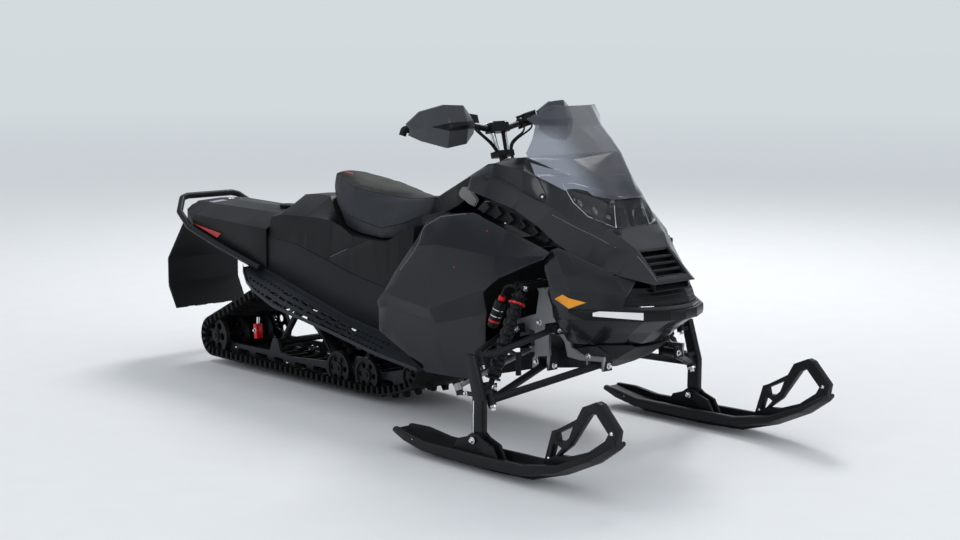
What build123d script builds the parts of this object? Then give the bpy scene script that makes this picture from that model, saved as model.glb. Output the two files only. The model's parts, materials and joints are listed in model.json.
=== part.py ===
"""Snowmobile with a short track, two skis on double wishbones and a one-seat body.

Frame: +X forward, +Y left, +Z up, millimetres.  The origin is on the floor, below the
middle of the machine.  Every shape is mirrored about the XZ plane unless it says otherwise.
"""
from build123d import *
import math
import os

# ---------------------------------------------------------------- driving dimensions
FIT = 0.3                      # running gap between pieces that seat on each other

# track
TRACK_WIDTH = 381.0
BELT = 6.0                     # belt thickness
LUG_HEIGHT = 28.0
LUG_COUNT = 48
LUG_TIP = 9.0                  # half thickness of a lug at its tip, as a length along the belt
LUG_FOOT = 15.0
WHEEL_R = 88.0                 # rear wheels
REAR_AXLE_X = -1206.0
SPROCKET_R = 88.0
DRIVE_AXLE = (158.0, 296.0)    # x, z
UPPER_IDLER_R = 65.0
UPPER_IDLER = (-560.0, 456.0)
TIP_WHEEL_R = 45.0
RAIL_CURVE_X = -150.0          # where the slide rails start to rise
RAIL_CURVE_R = 650.0
TIP_WHEEL = (115.0, 140.0)
LOWER_WHEEL_R = 71.0
LOWER_WHEEL_X = (-334.0, -152.0)
RAIL_Y = TRACK_WIDTH / 2 - 50.5
RAIL_THICK = 14.0
WHEEL_Y = TRACK_WIDTH / 2 - 24.5
WHEEL_WIDTH = 20.0

# tunnel and boards
TUNNEL_HALF = TRACK_WIDTH / 2 + 15.5
TAIL_HALF = TUNNEL_HALF + 9.0    # outside of the tail cover
BOARD_HALF = 330.0             # outside of the running boards
SLOT_MARGIN = 32.0             # from a board's edges to the middle of its nearest slots
SLOT_STEP = 62.0               # between slots along a board
SHEET = 3.0

# front suspension
SKI_STANCE_HALF = 538.0
KINGPIN_Y = SKI_STANCE_HALF - 30.0
LOWER_BALL = (937.0, 230.0)    # x, z
UPPER_BALL_Z = 372.0
CASTER = 22.0
ARM_TUBE_R = 13.0
BALL_BOSS_R = 15.0
BALL_BOSS_LENGTH = 40.0
PIN_R = 7.0
LEG_Y = SKI_STANCE_HALF + 12.0    # the leg stands on the outer half of its ski
LEG_THICK = 24.0
SKI_BOLT = (925.0, 100.0)      # x, z

# steering
STEER_TOP = (415.0, 1103.0)    # x, z of the bar clamp
STEER_LEAN = 18.0
TIE_ROD_OUTER = (796.0, 257.0)
TIE_ROD_INNER_Y = 180.0
TIE_ROD_RISE = 90.0
TIE_ROD_Y = SKI_STANCE_HALF - 8.0
TIE_EYE = 24.0                 # height of the eye at a tie rod's outer end
TIE_ROD_R = 8.0

# body panels
PANEL = 4.0
GLASS = 4.0
SIDES = {"left": 1.0, "right": -1.0}


# ---------------------------------------------------------------- helpers
def polygon(points):
    """Planar face through a closed ring of 3D points."""
    return Face(Wire.make_polygon(points, close=True))


def plate_xz(outline, y_from, y_to):
    """Prism of an (x, z) outline between two y values."""
    face = polygon([(x, y_from, z) for x, z in outline])
    return Solid.extrude(face, Vector(0, y_to - y_from, 0))


def plate_xy(outline, z_from, z_to):
    """Prism of an (x, y) outline between two heights."""
    face = polygon([(x, y, z_from) for x, y in outline])
    return Solid.extrude(face, Vector(0, 0, z_to - z_from))


def skin(rings):
    """Ruled loft through closed rings that have equal point counts."""
    return Solid.make_loft([Wire.make_polygon(ring, close=True) for ring in rings], ruled=True)


def offset_line(points, distance):
    """Open 2D polyline moved to its left by a distance, with mitred corners."""
    moved = []
    for i, (u, v) in enumerate(points):
        normals = []
        for a, b in ((i - 1, i), (i, i + 1)):
            if a >= 0 and b < len(points):
                du = points[b][0] - points[a][0]
                dv = points[b][1] - points[a][1]
                length = math.hypot(du, dv)
                normals.append((-dv / length, du / length))
        nu = sum(n[0] for n in normals)
        nv = sum(n[1] for n in normals)
        size = math.hypot(nu, nv)
        nu, nv = nu / size, nv / size
        reach = distance / max(0.35, nu * normals[0][0] + nv * normals[0][1])
        moved.append((u + nu * reach, v + nv * reach))
    return moved


def mirrored_line(half):
    """Full (y, z) polyline from +Y to -Y out of a half from the centre outwards."""
    left = [(abs(y), z) for y, z in reversed(half) if y != 0]
    right = [(-abs(y), z) for y, z in half]
    return left + right


def shell_x(sections, thickness):
    """Thick shell through stations (x, [(y, z) ...]); thickness goes to the left of the line."""
    rings = []
    for x, line in sections:
        inner = offset_line(line, thickness)
        rings.append([(x, y, z) for y, z in line + inner[::-1]])
    return skin(rings)


def solid_x(sections):
    """Closed solid through stations (x, [(y, z) ...]) whose rings close on themselves."""
    return skin([[(x, y, z) for y, z in ring] for x, ring in sections])


def rod(start, end, radius):
    """Round bar between two points."""
    a, b = Vector(*start), Vector(*end)
    return Solid.make_cylinder(radius, (b - a).length, Plane(origin=a, z_dir=b - a))


def bent_tube(points, radius, bend):
    """Tube along straight runs joined by arcs."""
    path = FilletPolyline(*points, radius=bend)
    start = Vector(*points[0])
    plane = Plane(origin=start, z_dir=Vector(*points[1]) - start)
    return sweep(plane * Circle(radius), path=path)


def turned_y(profile, x, y, z):
    """Revolve of a (radius, width) profile about a cross axis through (x, y, z)."""
    face = polygon([(x + r, y + w, z) for r, w in profile])
    return Solid.revolve(face, 360, Axis((x, y, z), (0, 1, 0)))


def mirror_y(shape):
    """The shape on the other side of the middle plane."""
    return mirror(shape, about=Plane.XZ)


def fuse(parts):
    """One shape out of a list of parts that touch."""
    whole = parts[0]
    for part in parts[1:]:
        whole = whole + part
    return whole


def pair(shape):
    """A shape and its mirror image as one compound of separate solids."""
    return Compound(children=[Compound(shape.solids()), Compound(mirror_y(shape).solids())])


def group(parts):
    """Separate solids in one node."""
    solids = []
    for part in parts:
        solids.extend(part.solids())
    return Compound(solids)


def lean(angle):
    """Unit vector that leans back from the vertical by an angle."""
    return Vector(-math.sin(math.radians(angle)), 0, math.cos(math.radians(angle)))


# ---------------------------------------------------------------- track
def belt_circles(outwards):
    """Circles (x, z, radius) that the belt wraps, grown by an offset from its inner face."""
    bottom = LUG_HEIGHT + BELT
    return [
        (REAR_AXLE_X, bottom + WHEEL_R, WHEEL_R + outwards),
        (RAIL_CURVE_X, bottom + RAIL_CURVE_R, RAIL_CURVE_R + outwards),
        (TIP_WHEEL[0], TIP_WHEEL[1], TIP_WHEEL_R + outwards),
        (DRIVE_AXLE[0], DRIVE_AXLE[1], SPROCKET_R + outwards),
        (UPPER_IDLER[0], UPPER_IDLER[1], UPPER_IDLER_R + outwards),
    ]


def belt_angles(circles):
    """Heading of each straight run from circle i to circle i + 1."""
    angles = []
    for i, (ax, az, ar) in enumerate(circles):
        bx, bz, br = circles[(i + 1) % len(circles)]
        gap = math.hypot(bx - ax, bz - az)
        angles.append(math.atan2(bz - az, bx - ax) + math.asin((ar - br) / gap))
    return angles


def belt_walk(outwards):
    """Runs and arcs of the belt as (length, start point, heading, radius) in order."""
    circles = belt_circles(outwards)
    angles = belt_angles(circles)
    steps = []
    for i, (x, z, r) in enumerate(circles):
        heading_in = angles[i - 1]
        turn = (angles[i] - heading_in) % (2 * math.pi)
        start = (x + r * math.sin(heading_in), z - r * math.cos(heading_in))
        steps.append((turn * r, start, heading_in, r))
        end = (x + r * math.sin(angles[i]), z - r * math.cos(angles[i]))
        bx, bz, br = circles[(i + 1) % len(circles)]
        far = (bx + br * math.sin(angles[i]), bz - br * math.cos(angles[i]))
        run = math.hypot(far[0] - end[0], far[1] - end[1])
        steps.append((run, end, angles[i], 0.0))
    return steps


def belt_point(steps, distance):
    """Point and heading at a distance along the belt."""
    for length, (x, z), heading, radius in steps:
        if distance <= length:
            if radius == 0:
                return x + distance * math.cos(heading), z + distance * math.sin(heading), heading
            turned = heading + distance / radius
            cx = x - radius * math.sin(heading)
            cz = z + radius * math.cos(heading)
            return cx + radius * math.sin(turned), cz - radius * math.cos(turned), turned
        distance -= length
    return belt_point(steps, distance)


def belt_face(outwards):
    """Closed face of the belt loop out of lines and arcs."""
    edges = []
    for length, (x, z), heading, radius in belt_walk(outwards):
        start = Vector(x, 0, z)
        if radius == 0:
            ahead = Vector(math.cos(heading), 0, math.sin(heading))
            edges.append(Edge.make_line(start, start + ahead * length))
            continue
        turn = length / radius
        cx = x - radius * math.sin(heading)
        cz = z + radius * math.cos(heading)
        points = []
        for part in (0.5, 1.0):
            a = heading + turn * part
            points.append(Vector(cx + radius * math.sin(a), 0, cz - radius * math.cos(a)))
        edges.append(Edge.make_three_point_arc(start, points[0], points[1]))
    return Face(Wire(edges))


def make_track():
    """Belt loop with full-width lugs all round its outline."""
    outer = Solid.extrude(belt_face(BELT), Vector(0, TRACK_WIDTH, 0))
    inner = Solid.extrude(belt_face(0.0), Vector(0, TRACK_WIDTH, 0))
    belt = outer - inner
    steps = belt_walk(BELT)
    total = sum(step[0] for step in steps)
    lugs = []
    sunk = 1.5
    for i in range(LUG_COUNT):
        x, z, heading = belt_point(steps, (i + 0.5) * total / LUG_COUNT)
        along = (math.cos(heading), math.sin(heading))
        out = (math.sin(heading), -math.cos(heading))
        outline = []
        for half, rise in ((-LUG_FOOT, -sunk), (-LUG_TIP, LUG_HEIGHT),
                           (LUG_TIP, LUG_HEIGHT), (LUG_FOOT, -sunk)):
            outline.append((x + along[0] * half + out[0] * rise,
                            z + along[1] * half + out[1] * rise))
        lugs.append(plate_xz(outline, 0, TRACK_WIDTH))
    return belt.fuse(*lugs).moved(Location((0, -TRACK_WIDTH / 2, 0)))


# ---------------------------------------------------------------- skid frame
FRONT_ARM_TOP = (-40.0, 345.0)      # x, z of the pivot on the tunnel
FRONT_ARM_FOOT = (-236.0, 142.0)
REAR_ARM_FOOT = (-800.0, 142.0)
ARM_SIDE_Y = 106.0
SKID_TUBE_R = 14.0
def wheel(x, z, y, radius, width=WHEEL_WIDTH, hub=24.0, bore=0.0, holes=6):
    """Idler wheel with a dished web, a rim and round lightening holes."""
    half = width / 2
    rim = radius * 0.82
    profile = [(bore, -half), (hub, -half), (hub, -4), (rim, -4), (rim, -half),
               (radius, -half), (radius, half), (rim, half), (rim, 4), (hub, 4),
               (hub, half), (bore, half)]
    body = turned_y(profile, x, y, z)
    hole_r = (rim - hub) * 0.34
    middle = (rim + hub) / 2
    cuts = []
    for i in range(holes):
        angle = 2 * math.pi * i / holes
        hx = x + middle * math.cos(angle)
        hz = z + middle * math.sin(angle)
        cuts.append(rod((hx, y - 10, hz), (hx, y + 10, hz), hole_r))
    return body.cut(*cuts)


def axle_z(name):
    bottom = LUG_HEIGHT + BELT
    return {"rear": bottom + WHEEL_R, "lower": bottom + LOWER_WHEEL_R}[name]


WHEEL_ROWS = (
    # x, z, radius, y positions on one side
    (REAR_AXLE_X, axle_z("rear"), WHEEL_R, (WHEEL_Y, 62.0)),
    (LOWER_WHEEL_X[0], axle_z("lower"), LOWER_WHEEL_R, (WHEEL_Y,)),
    (LOWER_WHEEL_X[1], axle_z("lower"), LOWER_WHEEL_R, (WHEEL_Y,)),
    (TIP_WHEEL[0], TIP_WHEEL[1], TIP_WHEEL_R, (WHEEL_Y,)),
    (UPPER_IDLER[0], UPPER_IDLER[1], UPPER_IDLER_R, (40.0, 74.0)),
)
SHAFT_R = 10.0


def make_track_wheels():
    """All the wheels that run on the belt, each turned with a bore for its shaft."""
    wheels = []
    for x, z, radius, places in WHEEL_ROWS:
        for y in places:
            for side in (1, -1):
                wheels.append(wheel(x, z, side * y, radius - FIT, bore=SHAFT_R + FIT,
                                    hub=20.0 if radius < 60 else 24.0))
    return group(wheels)


RAIL_TOP = (
    # x, z of the top edge
    (-1222, 132), (-1165, 122), (-1120, 100), (-748, 106), (-684, 98), (-420, 116), (-97, 118),
    (54, 152), (112, 168), (132, 152),
)
RAIL_SLOTS = (
    # x, z, length, height
    (-1030, 70, 90, 24), (-900, 70, 90, 24), (-775, 70, 70, 24), (-620, 70, 80, 22),
    (-490, 72, 90, 24), (-243, 74, 70, 26), (-50, 84, 70, 26),
)
SKID_SHAFTS = (
    # x, z, half length, radius of the boss on the rail
    (REAR_AXLE_X, axle_z("rear"), WHEEL_Y + 14, 26.0),
    (LOWER_WHEEL_X[0], axle_z("lower"), WHEEL_Y + 14, 24.0),
    (LOWER_WHEEL_X[1], axle_z("lower"), WHEEL_Y + 14, 24.0),
    (TIP_WHEEL[0], TIP_WHEEL[1], WHEEL_Y + 14, 22.0),
)


def make_slide_rails():
    """Two rails that ride on the belt, with bosses for the wheel shafts and lightening slots."""
    bottom = LUG_HEIGHT + BELT + FIT
    lower = []
    steps = 6
    for i in range(steps + 1):
        angle = math.radians(22.0 * (steps - i) / steps)
        lower.append((RAIL_CURVE_X + (RAIL_CURVE_R - FIT) * math.sin(angle),
                      bottom - FIT + RAIL_CURVE_R - (RAIL_CURVE_R - FIT) * math.cos(angle)))
    outline = list(RAIL_TOP) + lower + [(-1135, bottom), (-1165, bottom + 40),
                                        (-1222, bottom + 70)]
    inner, outer = RAIL_Y - RAIL_THICK / 2, RAIL_Y + RAIL_THICK / 2
    rail = plate_xz(outline, inner, outer)
    cuts = []
    for x, z, half, boss in SKID_SHAFTS:
        rail = rail + rod((x, inner, z), (x, outer, z), boss)
        cuts.append(rod((x, inner - 5, z), (x, outer + 5, z), SHAFT_R + FIT))
    for x, z in (FRONT_ARM_FOOT, REAR_ARM_FOOT):
        stand = [(x - 45, 92), (x + 45, 92), (x + 15, z + 20), (x - 15, z + 20)]
        rail = rail + plate_xz(stand, inner, outer)
    for x, z, length, height in RAIL_SLOTS:
        slot = Plane(origin=(x, inner - 5, z), x_dir=(1, 0, 0), z_dir=(0, 1, 0)) * SlotOverall(length, height)
        cuts.append(extrude(slot, RAIL_THICK + 10, dir=(0, 1, 0)).solids()[0])
    return pair(rail.cut(*cuts))


def make_drive_axle():
    """Cross shaft with two toothed drivers and its two side bearings."""
    x, z = DRIVE_AXLE
    shaft = rod((x, -TUNNEL_HALF + SHEET + FIT, z), (x, TUNNEL_HALF - SHEET - FIT, z), 16)
    drivers = []
    for y in (-95.0, 95.0):
        disc = turned_y([(14, -22), (40, -22), (40, -10), (72, -10), (72, -22), (80, -22),
                         (80, 22), (72, 22), (72, 10), (40, 10), (40, 22), (14, 22)], x, y, z)
        teeth = []
        for i in range(8):
            angle = 2 * math.pi * (i + 0.5) / 8
            tooth = Box(16, 44, 14).moved(Location((78, 0, 0)))
            tooth = tooth.rotate(Axis.Y, math.degrees(angle)).moved(Location((x, y, z)))
            teeth.append(tooth.solids()[0])
        drivers.append(disc.fuse(*teeth))
    return fuse([shaft] + drivers)


def shaft_across(x, z, half, radius):
    return rod((x, -half, z), (x, half, z), radius)


SWING_ARMS = (
    # x, z of the top pivot, x, z of the foot, place of the damper's shaft from top to foot
    (FRONT_ARM_TOP, FRONT_ARM_FOOT, 0.22),
    (UPPER_IDLER, REAR_ARM_FOOT, 0.5),
)
DAMPER_FEET = ((-62.0, 112.0), (-420.0, 96.0))      # x, z of the shafts between the rails
DAMPER_SHAFT_R = 11.0


def between(a, b, part):
    """Point a share of the way from a to b."""
    return tuple(p + (q - p) * part for p, q in zip(a, b))


def make_skid_arms():
    """Wheel shafts, and the front and rear swing arms with the shafts they pivot on."""
    parts = [shaft_across(x, z, half, SHAFT_R) for x, z, half, boss in SKID_SHAFTS]
    wall = TUNNEL_HALF - SHEET - FIT
    gap = RAIL_Y - RAIL_THICK / 2 - FIT
    for (top, foot, part), damper_foot in zip(SWING_ARMS, DAMPER_FEET):
        middle = between(top, foot, part)
        pieces = [shaft_across(top[0], top[1], wall, SHAFT_R),
                  shaft_across(foot[0], foot[1], gap, SKID_TUBE_R),
                  shaft_across(middle[0], middle[1], ARM_SIDE_Y, DAMPER_SHAFT_R)]
        for side in (1, -1):
            y = side * ARM_SIDE_Y
            pieces.append(rod((top[0], y, top[1]), (foot[0], y, foot[1]), SKID_TUBE_R))
        parts.append(fuse(pieces))
        parts.append(shaft_across(damper_foot[0], damper_foot[1], gap, DAMPER_SHAFT_R))
    return group(parts)


def damper(bottom, top, across, body_r, spring_r, wire, turns, eye_width, eye_r, bore):
    """Coil-over damper: rod, tube, spring as a ribbed sleeve; its eyes' axis runs across."""
    a, b = Vector(*bottom), Vector(*top)
    length = (b - a).length
    plane = Plane(origin=a, x_dir=Vector(*across), z_dir=b - a)
    low = 2 * eye_r
    high = length - 2 * eye_r
    pitch = (high - low - 12) / turns
    profile = [(0, eye_r - 5), (10, eye_r - 5), (10, low), (spring_r + 3, low),
               (spring_r + 3, low + 6)]
    for i in range(turns):
        foot = low + 6 + i * pitch
        profile += [(spring_r - wire, foot), (spring_r, foot + pitch * 0.25),
                    (spring_r, foot + pitch * 0.6), (spring_r - wire, foot + pitch * 0.85)]
    profile += [(spring_r - wire, high - 6), (spring_r + 3, high - 6), (spring_r + 3, high),
                (body_r, high), (body_r, length - eye_r - 5), (10, length - eye_r - 5),
                (10, length - eye_r + 5), (0, length - eye_r + 5)]
    face = Face(Wire.make_polygon([(r, 0, h) for r, h in profile], close=True))
    body = Solid.revolve(face, 360, Axis((0, 0, 0), (0, 0, 1)))
    for height in (0.0, length):
        ring = rod((-eye_width / 2, 0, height), (eye_width / 2, 0, height), eye_r)
        body = body + ring
        body = body - rod((-eye_width, 0, height), (eye_width, 0, height), bore)
    return plane.location * body


SKID_SHOCKS = (
    # body radius, spring radius, wire, turns
    (15.0, 27.0, 6.0, 4),
    (18.0, 33.0, 7.0, 8),
)


def make_skid_shocks():
    """Centre dampers of the front and rear swing arms, each between two shafts."""
    units = []
    rows = zip(SWING_ARMS, DAMPER_FEET, SKID_SHOCKS)
    for (top, foot, part), (x0, z0), (body_r, spring_r, wire, turns) in rows:
        x1, z1 = between(top, foot, part)
        units.append(damper((x0, 0, z0), (x1, 0, z1), (0, 1, 0), body_r, spring_r, wire, turns, 40.0,
                            18.0, DAMPER_SHAFT_R + FIT))
    return group(units)


# ---------------------------------------------------------------- tunnel, boards, tail
TUNNEL_ROWS = (
    # x, top, lower edge
    (-1290, 634, 586), (-1098, 622, 532), (-791, 606, 452), (-560, 590, 398), (-200, 508, 312),
    (158, 452, 262), (320, 446, 245),
)


def tunnel_top(x):
    """Height of the tunnel's roof at a station."""
    for (xa, za, _), (xb, zb, _) in zip(TUNNEL_ROWS, TUNNEL_ROWS[1:]):
        if xa <= x <= xb:
            return za + (zb - za) * (x - xa) / (xb - xa)
    return TUNNEL_ROWS[0][1] if x < TUNNEL_ROWS[0][0] else TUNNEL_ROWS[-1][1]


def tunnel_edge(x):
    """Height of the tunnel's lower edge at a station."""
    for (xa, _, za), (xb, _, zb) in zip(TUNNEL_ROWS, TUNNEL_ROWS[1:]):
        if xa <= x <= xb:
            return za + (zb - za) * (x - xa) / (xb - xa)
    return TUNNEL_ROWS[0][2] if x < TUNNEL_ROWS[0][0] else TUNNEL_ROWS[-1][2]


def make_tunnel():
    """Sheet channel over the track, open below and behind, closed in front."""
    rings = []
    for x, top, edge in TUNNEL_ROWS:
        line = [(TUNNEL_HALF, edge), (TUNNEL_HALF, top), (-TUNNEL_HALF, top),
                (-TUNNEL_HALF, edge)]
        rings.append((x, line))
    channel = shell_x(rings, SHEET)
    x, top, edge = TUNNEL_ROWS[-1]
    wall = Box(SHEET, 2 * TUNNEL_HALF, top - edge).moved(
        Location((x + SHEET / 2, 0, (top + edge) / 2)))
    return channel + wall


BOARD_ROWS = (
    # x, outer edge height, how far in the outer edge lies, as a share of the board's reach
    (-880, 464, 20 / 31), (-846, 448, 14 / 31), (-780, 412, 13 / 62), (-707, 386, 2 / 31),
    (-560, 340, 0), (-215, 290, 0), (110, 236, 0), (330, 210, 2 / 31),
)


def make_running_board(side):
    """Pressed board with a rolled outer lip, fixed along the tunnel's lower edge."""
    rings = []
    for x, z, share in BOARD_ROWS:
        outer = BOARD_HALF - share * (BOARD_HALF - TUNNEL_HALF)
        inner_z = max(z + 4, tunnel_edge(x) - 6)
        lip = [(TUNNEL_HALF + FIT, inner_z + 26), (TUNNEL_HALF + FIT, inner_z),
               (outer - 16, z), (outer, z + 2), (outer, z + 16)]
        rings.append((x, [(side * y, h) for y, h in lip]))
    board = shell_x(rings, side * SHEET)
    first = TUNNEL_HALF + SLOT_MARGIN
    pitch = (BOARD_HALF - SLOT_MARGIN - first) / 2
    slot = Box(40, pitch * 7 / 15, 120)
    cuts = []
    for i in range(9):
        for row in range(3):
            x = -640 + i * SLOT_STEP + (row - 1) * pitch * 0.3
            cuts.append(slot.moved(Location((x, side * (first + row * pitch), 330))))
    return board.cut(*[c.solids()[0] for c in cuts])


TAIL_ROWS = (
    # x, centre height, mid half width, mid height, edge half width, edge height, side foot
    (-1440, 694, 84, 691, 128, 678, 654),
    (-1400, 704, 120, 698, 180, 664, 620),
    (-1300, 704, 124, 696, TAIL_HALF, 652, 596),
    (-915, 702, 110, 692, TAIL_HALF, 640, 506),
    (-760, 698, 108, 688, TAIL_HALF, 636, 474),
)
COVER = 5.0
DECK_RIB_X = (-1200.0, -850.0)
DECK_RIB_HALF = 104.0
ANCHOR = (-897.0, 702.0)        # x, z of the accessory anchor in the deck
ANCHOR_R = 19.0
ANCHOR_DEPTH = 24.0


def make_tail_cover():
    """Moulded deck over the tunnel's tail, with sides that come down to the grab tube."""
    rings = []
    for x, centre, y1, z1, y2, z2, foot in TAIL_ROWS:
        rings.append((x, mirrored_line([(0, centre), (y1, z1), (y2, z2), (y2, foot)])))
    cover = shell_x(rings, COVER)
    for x in DECK_RIB_X:
        foot = tunnel_top(x) + FIT
        top = row_at(TAIL_ROWS, x)[3] - 1
        rib = Box(6, 2 * DECK_RIB_HALF, top - foot)
        cover = cover + rib.moved(Location((x, 0, (top + foot) / 2)))
    x, z = ANCHOR
    top = z - 1.0
    cover = cover + rod((x, 0, top - ANCHOR_DEPTH), (x, 0, top), ANCHOR_R + 8)
    return cover - rod((x, 0, top - ANCHOR_DEPTH - 20), (x, 0, z + 20), ANCHOR_R)


TAIL_LIGHT = ((-1294, 612), (-1083, 588), (-1112, 566))   # x, z on the side
TAIL_LIGHT_PROUD = 5.0


def make_tail_lights():
    """Wedge lens on each side of the tail cover."""
    y = TAIL_ROWS[2][4] + FIT
    return pair(plate_xz(TAIL_LIGHT, y, y + TAIL_LIGHT_PROUD))


GRAB_TUBE_R = 14.0
GRAB_Y = TAIL_HALF + GRAB_TUBE_R + 2 * FIT      # the tube passes just outside the tail cover
GRAB_LOOP = (
    # x, y, z of the corners on one side
    (-784, GRAB_Y, 470), (-1098, GRAB_Y, 540), (-1310, GRAB_Y, 597), (-1424, 204, 652),
    (-1484, 150, 704), (-1490, 118, 712),
)


def make_rear_bumper():
    """Round grab loop that runs back from both tunnel sides and closes behind the deck."""
    left = [(x, y, z) for x, y, z in GRAB_LOOP]
    right = [(x, -y, z) for x, y, z in reversed(GRAB_LOOP)]
    return bent_tube(left + right, GRAB_TUBE_R, 20.0)


FLAP_HALF = 187.0
FLAP_PROFILE = ((-1418, 612), (-1556, 430), (-1556, 318), (-1498, 212))   # x, z outer face
FLAP_THICK = 9.0
TONGUE_HALF = 150.0
FLAP_RIBS = (-150.0, -50.0, 50.0, 150.0)


def make_snow_flap():
    """Moulded flap that hangs behind the track, thicker at its foot, with upright ribs."""
    inner = [(x + FLAP_THICK, z) for x, z in reversed(FLAP_PROFILE)]
    flap = plate_xz(list(FLAP_PROFILE) + inner, -FLAP_HALF, FLAP_HALF)
    x0, x1 = TUNNEL_ROWS[0][0] + 5, TUNNEL_ROWS[0][0] + 60
    under = -SHEET - FIT
    tongue = [(FLAP_PROFILE[0][0] + 2, FLAP_PROFILE[0][1] - 8), FLAP_PROFILE[0],
              (x0, tunnel_top(x0) + under), (x1, tunnel_top(x1) + under),
              (x1, tunnel_top(x1) + under - 6), (x0, tunnel_top(x0) + under - 6)]
    flap = flap + plate_xz(tongue, -TONGUE_HALF, TONGUE_HALF)
    foot = [(-1565, 326), (-1565, 300), (-1506, 206), (-1490, 212), (-1547, 318), (-1547, 326)]
    for y in FLAP_RIBS:
        flap = flap + plate_xz(foot, y - 30, y + 30)
    return flap


# ---------------------------------------------------------------- seat
PEDESTAL_ROWS = (
    # x, top, top half, crease z, how far inside the tunnel's sides the crease runs
    (-759.7, 712, 60, 686, 16),
    (-690, 776, 60, 700, 16),
    (-600, 784, 60, 704, 16),
    (-507, 784, 70, 706, 16),
    (-430, 735, 110, 708, 16),
    (-345, 672, 150, 704, 16),
    (-277, 664, 170, 688, 11),
    (-200, 658, 184, 657, 6),
    (-60, 654, 180, 652, 3),
    (0, 658, 160, 652, 4),
    (40, 678, 130, 670, 8),
    (75, 706, 96, 690, 10),
    (150, 738, 76, 722, 26),
)
PEDESTAL_INSET = 2.0            # how far the foot stays inside the tunnel's sides
COVER_EDGE = ((-345, 563), (-58, 667))      # x, z of the lower front edge of the load cover


def row_at(rows, x):
    """Row of a station table at x, worked out between its neighbours."""
    for low, high in zip(rows, rows[1:]):
        if low[0] <= x <= high[0]:
            part = (x - low[0]) / (high[0] - low[0])
            return tuple(a + (b - a) * part for a, b in zip(low, high))
    return rows[-1]


def with_tunnel_stations(rows):
    """The table with a row added wherever the tunnel's roof changes slope."""
    places = {row[0] for row in rows}
    places |= {x for x, top, edge in TUNNEL_ROWS if rows[0][0] < x < rows[-1][0]}
    return [row_at(rows, x) for x in sorted(places)]


def pedestal():
    """Body that stands on the tunnel, from the tail cover to the console."""
    rings = []
    for x, top, y0, z1, y1 in with_tunnel_stations(PEDESTAL_ROWS):
        foot = tunnel_top(x) + FIT
        left = [(TUNNEL_HALF - PEDESTAL_INSET, foot), (TUNNEL_HALF - y1, z1), (y0, top - FIT)]
        right = [(-y, z) for y, z in reversed(left)]
        rings.append((x, left + right))
    return solid_x(rings)


def cover_cut(gap):
    """Prism that takes in all of the pedestal above the load cover's lower edge."""
    (x0, z0), (x1, z1) = COVER_EDGE
    outline = [(-900, 300), (x0 + gap, 300), (x0 + gap, z0 - gap), (x1 + gap, z1 - gap),
               (x1 + gap, 900), (-900, 900)]
    return plate_xz(outline, -300, 300)


def make_seat_base(body):
    """Seat support that rises from the tunnel, ahead of the load cover."""
    pieces = (body - cover_cut(FIT)).solids()
    return max(pieces, key=lambda piece: piece.volume)


def make_cargo_cover(body):
    """Load cover with a flat top, which runs forward under the seat as a wedge."""
    pieces = (body & cover_cut(0.0)).solids()
    return max(pieces, key=lambda piece: piece.volume)


SEAT_ROWS = (
    # x, foot half, widest half, widest z, crease half, crease z, crown z; the foot
    # lies on the pedestal
    (-507, 50, 56, 832, 52, 880, 886),
    (-430, 88, 98, 764, 88, 874, 882),
    (-345, 118, 130, 736, 120, 858, 870),
    (-277, 138, 152, 726, 140, 845, 856),
    (-200, 156, 168, 716, 131, 834, 845),
    (-136, 164, 176, 708, 112, 828, 838),
    (-60, 170, 180, 700, 84, 819, 830),
    (0, 148, 166, 714, 67, 814, 825),
    (40, 116, 138, 728, 55, 815, 824),
    (75, 84, 104, 750, 44, 820, 826),
    (110, 50, 62, 772, 30, 826, 829),
)


def make_seat_cushion():
    """Closed cushion with a high rear lip, pulled in towards its foot."""
    rings = []
    for x, y0, y1, z1, y2, z2, crown in SEAT_ROWS:
        foot = row_at(PEDESTAL_ROWS, x)[1]
        left = [(y0, foot), (y1, z1), (y2, z2), (0.3 * y2, crown)]
        right = [(-y, z) for y, z in reversed(left)]
        rings.append((x, left + right))
    return solid_x(rings)


# ---------------------------------------------------------------- hood and windshield
HOOD_ROWS = (
    # x, centre z, top half, top z, shoulder half, shoulder z, crease half, crease z,
    # edge half, edge z
    (540, 985, 150, 980, 214, 966, 240, 950, 262, 898),
    (660, 1016, 180, 1014, 236, 1000, 254, 948, 286, 884),
    (816, 1010, 234, 1030, 246, 985, 250, 906, 294, 854),
    (941, 962, 150, 972, 187, 928, 226, 862, 296, 804),
    (1010, 932, 104, 940, 150, 896, 200, 818, 284, 756),
    (1076, 893, 60, 905, 108, 862, 184, 777, 238, 704),
    (1104, 796, 60, 800, 128, 796, 172, 766, 222, 692),
    (1150, 764, 66, 768, 110, 774, 146, 744, 196, 672),
    (1199, 731, 76, 732, 82, 733, 92, 727, 171, 651),
    (1304, 632, 80, 632, 84, 632, 90, 630, 104, 624),
)
HOOD_REAR_VIEW = ((400, 800), (532, 921), (528, 947), (625, 1011), (700, 1100), (400, 1100))
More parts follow.
